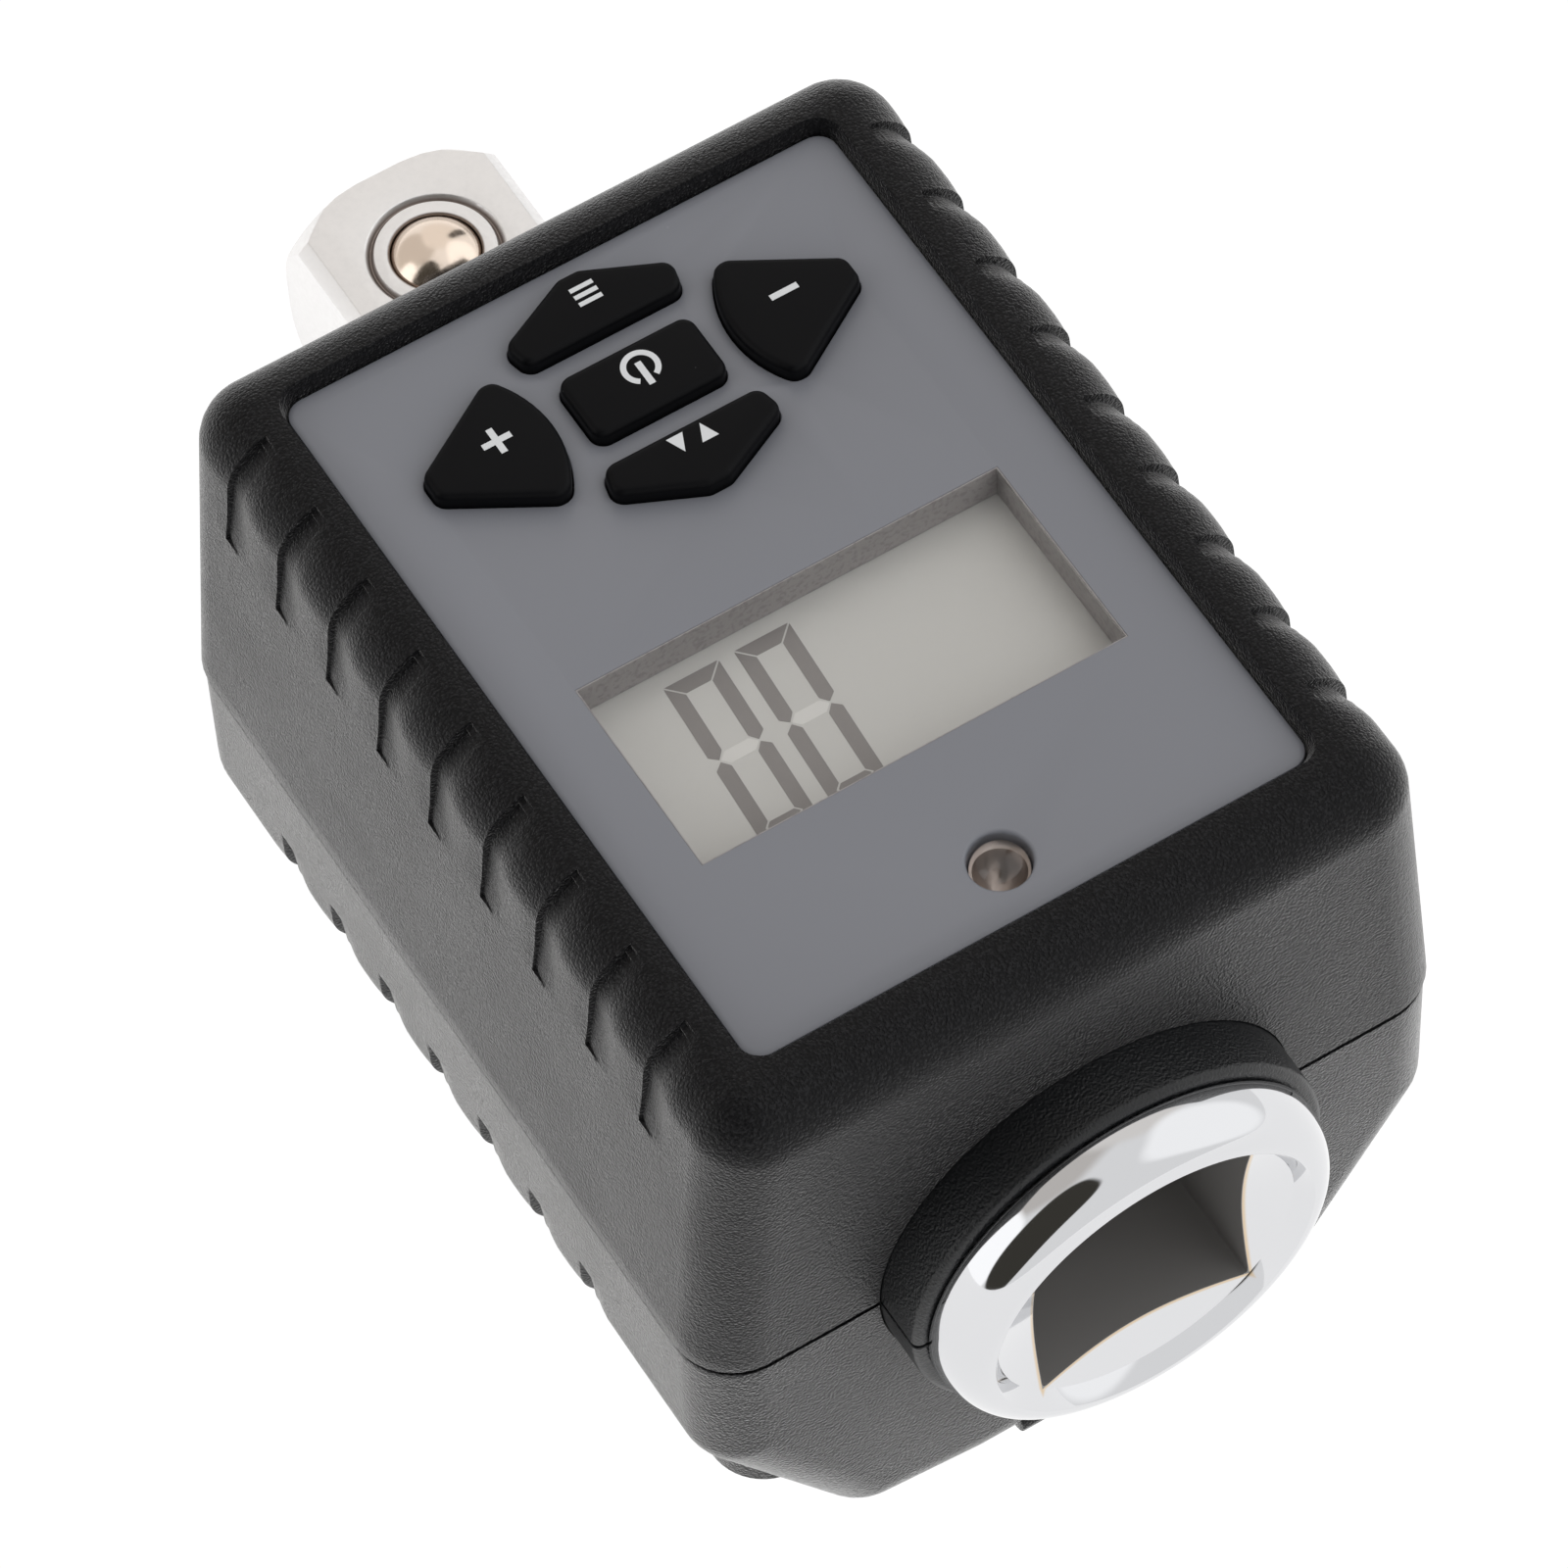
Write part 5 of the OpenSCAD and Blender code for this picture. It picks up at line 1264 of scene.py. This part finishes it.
class ADAPTER_OT_panel(bpy.types.Operator):
    """Models the grey panel with its bevelled rim and softened openings"""
    bl_idname = "adapter.panel"
    bl_label = "Panel"

    def execute(self, context):
        p = settings("panel")
        low, top = p.top - p.thick, p.top
        plate = prism("panel_plate_shaped", box_outline(p.half_width, p.half_length, p.corner, y=p.middle),
                      low, top - p.rim_drop)
        edit(plate)
        pick(plate, "FACE", lambda f: f.normal.z > 0.9)
        bpy.ops.mesh.inset(thickness=p.rim_bevel)
        bpy.ops.transform.translate(value=(0, 0, p.rim_drop))
        bpy.ops.object.mode_set(mode="OBJECT")

        def rim(e, level=top):
            return all(abs(v.co.z - MIDDLE.z - level) < LEVEL for v in e.verts)

        bevel(plate, lambda e: rim(e, top - p.rim_drop), 0.05 * MM, 2)
        cutters = [
            frame_block("window", p.window_width, p.window_length, p.window_y, 0, low - MM, top + MM),
            prism("lamp_hole", circle_outline(p.lamp_radius, y=p.lamp_y), low - MM, top + MM)]
        cutters += [prism("key_hole", key_outline(key, 0.07 * MM), low - MM, top + MM) for key in KEYS]
        carve(plate, *cutters)
        inside_x, inside_y = p.half_width - MM, p.half_length - MM

        def midpoint(e):
            return (e.verts[0].co + e.verts[1].co) / 2 - MIDDLE

        def openings(e):
            a = midpoint(e)
            beside = (abs(a.x) < p.window_width + 0.1 * MM
                      and abs(a.y - p.window_y) < p.window_length + 0.1 * MM)
            return (rim(e) and not beside and abs(a.x) < inside_x and abs(a.y - p.middle) < inside_y
                    and len(e.link_faces) == 2 and e.calc_face_angle(0) > SHARP)

        def round_lamp(e):
            a = midpoint(e)
            return openings(e) and math.hypot(a.x, a.y - p.lamp_y) < 2 * p.lamp_radius

        bevel(plate, round_lamp, 0.24 * MM, 4)
        bevel(plate, openings, p.hole_bevel, 2)
        done(plate, "panel", "panel_grey", "panel_plate", angle=40)
        return {"FINISHED"}


def arc_stroke(x, y, radius, width, first, last, steps=40):
    """Outline of a curved stroke, angles in degrees."""
    turns = spread(math.radians(first), math.radians(last), steps)
    outer = [(x + (radius + width / 2) * math.cos(a), y + (radius + width / 2) * math.sin(a)) for a in turns]
    inner = [(x + (radius - width / 2) * math.cos(a), y + (radius - width / 2) * math.sin(a)) for a in turns]
    return outer + inner[::-1]


# The marks are drawn in millimetres about the middle of the body; their upper side faces the socket
MARKS = {
    "plus": [[(-9.45, 15.36), (-8.78, 15.36), (-8.78, 14.70), (-8.40, 14.70), (-8.40, 15.36), (-7.73, 15.36),
              (-7.73, 15.74), (-8.40, 15.74), (-8.40, 16.42), (-8.78, 16.42), (-8.78, 15.74), (-9.45, 15.74)]],
    "minus": [[(8.20, 15.36), (9.88, 15.36), (9.88, 15.74), (8.20, 15.74)]],
    "menu": [[(-0.50, y), (0.90, y), (0.90, y + 0.28), (-0.50, y + 0.28)] for y in (20.50, 21.01, 21.52)],
    "mode": [[(-1.15, 10.78), (-0.15, 10.78), (-0.65, 9.62)], [(0.40, 9.62), (1.40, 9.62), (0.90, 10.78)]],
    "power": [[(-0.02, 15.85), (-0.02, 14.25), (0.36, 14.25), (0.36, 15.85)]],
}


class ADAPTER_OT_keys(bpy.types.Operator):
    """Models the five rubber keys and the white marks on them"""
    bl_idname = "adapter.keys"
    bl_label = "Keys"

    def execute(self, context):
        p = settings("panel")
        print_high = 0.012 * MM
        top = p.top + p.key_rise - print_high
        under = p.top - p.thick - 1.8 * MM
        board = p.top - p.display_drop - 4.6 * MM
        for key in KEYS:
            cap = prism("key_cap_" + key, key_outline(key), under - 0.4 * MM, top)
            bevel(cap, lambda e: all(abs(v.co.z - MIDDLE.z - top) < LEVEL for v in e.verts), p.key_bevel, 5)
            flange = prism("flange", key_outline(key, 0.5 * MM), under - 0.75 * MM, under)
            stem = prism("stem", key_outline(key, -0.8 * MM), board + 1.45 * MM, under - 0.3 * MM)
            join(cap, flange, stem)
            done(cap, "key", "key_rubber", "key_" + key, body="key_" + key, angle=50)
            shapes = [in_mm(*shape) for shape in MARKS[key]]
            if key == "power":
                shapes = [arc_stroke(0.17 * MM, 15.5 * MM, 0.93 * MM, 0.33 * MM, -58, 238)] + shapes
            parts = [prism("mark", shape, top - 0.02 * MM, top + print_high) for shape in shapes]
            mark = join(*parts)
            mark.name = mark.data.name = "key_mark_" + key
            done(mark, "print", "key_rubber", body="key_" + key)
        return {"FINISHED"}


def digit(x, y, wide, tall, slant, thick, gap):
    """The lit segments of a seven-segment nought, and its unlit middle, as outlines.
    x, y is its far left corner; the digit grows towards the socket."""
    t, h, m, k = thick, tall / 2, thick / 2, gap

    def at(u, v):
        return (x + u + slant * v, y - v)

    def opposite(shape):
        """The same segment, turned half round about the middle of the digit."""
        return [(2 * (x + wide / 2 + slant * h) - a, 2 * (y - h) - c) for a, c in shape]

    up = [at(k, 0), at(wide - k, 0), at(wide - t, t - k), at(t, t - k)]
    left_far = [at(0, k), at(t - k, t), at(t - k, h - m - k), at(m, h - k), at(0, h - m)]
    right_far = [at(wide, k), at(wide, h - m), at(wide - m, h - k), at(wide - t + k, h - m - k),
                 at(wide - t + k, t)]
    middle = [at(m + k, h), at(t, h - m + k), at(wide - t, h - m + k), at(wide - m - k, h),
              at(wide - t, h + m - k), at(t, h + m - k)]
    far = [up, left_far, right_far]
    return far + [opposite(shape) for shape in far], middle


class ADAPTER_OT_display(bpy.types.Operator):
    """Models the display, its frame, its dark segments, the window and the signal lamp"""
    bl_idname = "adapter.display"
    bl_label = "Display and lamp"

    def execute(self, context):
        p = settings("panel")
        face = p.top - p.display_drop
        w, l, y = p.window_width + 2 * MM, p.window_length + 2 * MM, p.window_y
        glass = frame_block("display_cell", w, l, y, 0, face - 2.15 * MM, face - 0.05 * MM)
        soften(glass, 0.12 * MM, 1)
        done(glass, "display", "display_face", "display_glass")
        dark, pale = [], []
        for x in (-8.28, -4.0):
            lit, unlit = digit(x * MM, -0.42 * MM, 3.36 * MM, 10.75 * MM, -0.055, 0.95 * MM, 0.07 * MM)
            dark += [prism("segment", shape, face - 0.06 * MM, face - 0.035 * MM) for shape in lit]
            pale.append(prism("unlit", unlit, face - 0.06 * MM, face - 0.04 * MM))
        for name, parts, key in (("display_segments", dark, "segment"), ("display_unlit", pale, "unlit")):
            ob = join(*parts)
            ob.name = ob.data.name = name
            done(ob, key, "display_face")
        board = face - 4.6 * MM
        low = p.top - p.thick
        frame_ring = frame_block("display_frame", w, l, y, 1.6 * MM, board + 0.05 * MM, low - 1.75 * MM)
        boss = frame_block("boss", w, l, y, 0.8 * MM, board + 0.05 * MM, low - 0.05 * MM)
        combine(frame_ring, [boss], "UNION")
        carve(frame_ring,
              frame_block("opening", p.window_width, p.window_length, y, 0, board - MM, p.top),
              frame_block("pocket", w, l, y, 0.05 * MM, board - MM, face))
        done(frame_ring, "brown", "bezel_plastic", "display_bezel")
        w, l = p.window_width, p.window_length
        lining = frame_block("display_lining", w, l, y, -0.02 * MM, face + 0.01 * MM, p.top - 0.02 * MM)
        carve(lining, frame_block("inside", w, l, y, -0.08 * MM, face - MM, p.top + MM))
        done(lining, "brown", "bezel_plastic")
        window = frame_block("display_window_pane", w, l, y, -0.1 * MM, low, p.top - 0.05 * MM)
        soften(window, 0.05 * MM, 1)
        done(window, "window", "window_clear", "display_window")
        r = p.lamp_radius - 0.07 * MM
        dome = p.top + 0.5 * MM - r
        bottom = low - 3.4 * MM
        profile = [(0, bottom), (r + 0.45 * MM, bottom), (r + 0.45 * MM, bottom + 0.7 * MM),
                   (r, bottom + 0.8 * MM)]
        profile += [(r * math.cos(a), dome + r * math.sin(a)) for a in spread(0, math.pi / 2, 14)]
        lens = turned("lamp_lens", profile, 64, "Z", (0, p.lamp_y, 0))
        done(lens, "lamp", "lamp_lens", "signal_lamp", angle=50)
        cup = turned("lamp_cup", [
            (0, dome - 1.1 * MM), (0.35 * MM, dome - 1.05 * MM), (0.95 * MM, dome - 0.3 * MM),
            (1.1 * MM, dome - 0.3 * MM), (1.1 * MM, dome - 1.6 * MM), (0, dome - 1.6 * MM)],
            48, "Z", (0, p.lamp_y, 0))
        done(cup, "lamp_cup", "lamp_lens", angle=50)
        return {"FINISHED"}


class ADAPTER_OT_battery_door(bpy.types.Operator):
    """Models the battery door with softened edges and a finger ridge"""
    bl_idname = "adapter.battery_door"
    bl_label = "Battery door"

    def execute(self, context):
        door = copy_of("battery_door", "battery_door_shaped")
        soften(door, 0.1 * MM, 2, 35)
        done(door, "shell_lit_lower", "door_plastic", "battery_door", body="battery_door")
        return {"FINISHED"}


# What stands round the object, as oval patches over a plain tone: name, direction across and up, half
# width and height, turn (all in degrees), softness of the border and tone
PATCHES = (
    ("rear left sheet", -34, 42, 34, 42, 0, 0.30, (0.64, 0.61, 0.58, 1)),
    ("rear right sheet", 33, 42, 26, 36, 0, 0.35, (0.86, 0.83, 0.80, 1)),
    ("right box", 112, 34, 30, 34, 0, 0.30, (1.22, 1.22, 1.22, 1)),
    ("left card", -80, 14, 17, 26, 0, 0.25, (1.40, 1.40, 1.40, 1)),
    ("dark room", -119, 34, 21, 40, 15, 0.10, (0.05, 0.047, 0.04, 1)),
    ("dark gap", 60, 20, 6, 22, 0, 0.20, (0.06, 0.055, 0.05, 1)),
)


ROOM_TONE = (0.93, 0.93, 0.93, 1)
ROOM_LIGHT = 1.06       # strength of all the light
PATCH_SHAPE = 2.6       # 2 would be a plain ellipse, more comes nearer to a rectangle


def studio():
    """The soft light from all round: pale sheets, and a dark stretch of room. The camera sees plain white."""
    world = bpy.data.worlds.new("soft studio")
    world.use_nodes = True
    tree = world.node_tree
    way = add(tree, "TexCoord").outputs["Generated"]

    def along(axis):
        return add(tree, "VectorMath", operation="DOT_PRODUCT", in_0=way, in_1=axis).outputs["Value"]

    tone = ROOM_TONE
    for _, across, up, wide, tall, turn, soft, other in PATCHES:
        a, e, q = math.radians(across), math.radians(up), math.radians(turn)
        aim = Vector((math.sin(a) * math.cos(e), math.cos(a) * math.cos(e), math.sin(e)))
        level = Vector((math.cos(a), -math.sin(a), 0))
        upright = level.cross(aim)
        side, high = level * math.cos(q) + upright * math.sin(q), upright * math.cos(q) - level * math.sin(q)
        apart = []
        for axis, reach in ((side, wide), (high, tall)):
            share = calc(tree, "ABSOLUTE", along(axis / math.sin(math.radians(reach))))
            apart.append(calc(tree, "POWER", share, PATCH_SHAPE))
        inside = fade(tree, calc(tree, "ADD", *apart), 1 - soft, 1 + soft, 1.0, 0.0,
                      interpolation_type="SMOOTHSTEP")
        ahead = calc(tree, "GREATER_THAN", along(aim), 0.0)
        tone = blend_colour(tree, calc(tree, "MULTIPLY", inside, ahead), tone, other)
    light = tree.nodes["Background"]
    tree.links.new(tone, light.inputs["Color"])
    light.inputs["Strength"].default_value = ROOM_LIGHT
    show_instead(tree, "Is Camera Ray", light, add(tree, "Background", in_Color=(1, 1, 1, 1)))
    return world


class ADAPTER_OT_stage(bpy.types.Operator):
    """Sets the pale floor, the soft light and the camera"""
    bl_idname = "adapter.stage"
    bl_label = "Stage"

    def execute(self, context):
        s = settings("stage")
        start()
        bpy.ops.mesh.primitive_plane_add(size=8, location=(0, 0, -s.drop))
        floor = named("floor")
        bpy.ops.object.transform_apply(location=True, rotation=True, scale=True)
        material, tree, shader = finish("pale floor", tuple(s.floor), 0.9, Specular_IOR_Level=0.1)
        tone = add(tree, "TexNoise", in_Vector=on_object(tree), in_Scale=3.0)
        drive(tree, shader, blend_colour(tree, tone.outputs["Fac"], tuple(s.floor), lighter(s.floor, 1.02)))
        shader.inputs["Emission Color"].default_value = (1, 1, 1, 1)
        shader.inputs["Emission Strength"].default_value = s.glow
        show_instead(tree, "Is Camera Ray", shader, add(tree, "Emission", in_Strength=1.05))
        floor.data.materials.append(material)
        bpy.context.scene.world = studio()
        bpy.ops.object.camera_add()
        camera = bpy.context.object
        camera.name = "camera"
        # solved from the corners of the panel, the window and the body's outline in the photo
        right = Vector((0.850837, -0.524521, -0.030882))
        down = Vector((-0.457478, -0.710612, -0.534550))
        ahead = Vector((0.258438, 0.468943, -0.844572))
        turn = Matrix((right, -down, -ahead)).transposed().to_4x4()
        place = MIDDLE + Vector((-123.853, -222.482, 404.246)) * MM
        camera.matrix_world = Matrix.Translation(place) @ turn
        camera.data.lens = s.focal
        camera.data.sensor_width = 36
        camera.data.sensor_fit = "HORIZONTAL"
        camera.data.clip_start, camera.data.clip_end = 0.01, 50
        bpy.context.scene.camera = camera
        bpy.context.scene.view_settings.view_transform = "Standard"
        start()
        return {"FINISHED"}


class ADAPTER_PT_panel(bpy.types.Panel):
    """Lists the pieces of the adapter"""
    bl_idname = "ADAPTER_PT_panel"
    bl_label = "Torque adapter"
    bl_space_type = "VIEW_3D"
    bl_region_type = "UI"
    bl_category = "Adapter"

    def draw(self, context):
        for operator in OPERATORS:
            self.layout.operator(operator.bl_idname)
        for name in GROUPS:
            owner = getattr(context.scene, name)
            box = self.layout.box()
            box.label(text=name.replace("adapter_", "").capitalize())
            for key in owner.__annotations__:
                box.prop(owner, key)


OPERATORS = (
    ADAPTER_OT_finishes, ADAPTER_OT_upper_shell, ADAPTER_OT_lower_shell, ADAPTER_OT_collar, ADAPTER_OT_socket,
    ADAPTER_OT_square_drive, ADAPTER_OT_panel, ADAPTER_OT_keys, ADAPTER_OT_display, ADAPTER_OT_battery_door,
    ADAPTER_OT_stage,
)


def register():
    for cls in (*GROUPS.values(), *OPERATORS, ADAPTER_PT_panel):
        bpy.utils.register_class(cls)
    for name, cls in GROUPS.items():
        setattr(bpy.types.Scene, name, PointerProperty(type=cls))


def unregister():
    for name in GROUPS:
        delattr(bpy.types.Scene, name)
    for cls in reversed((*GROUPS.values(), *OPERATORS, ADAPTER_PT_panel)):
        bpy.utils.unregister_class(cls)


def main():
    register()
    for operator in OPERATORS:
        getattr(bpy.ops.adapter, operator.bl_idname.split(".")[1])()


if __name__ == "__main__":
    main()
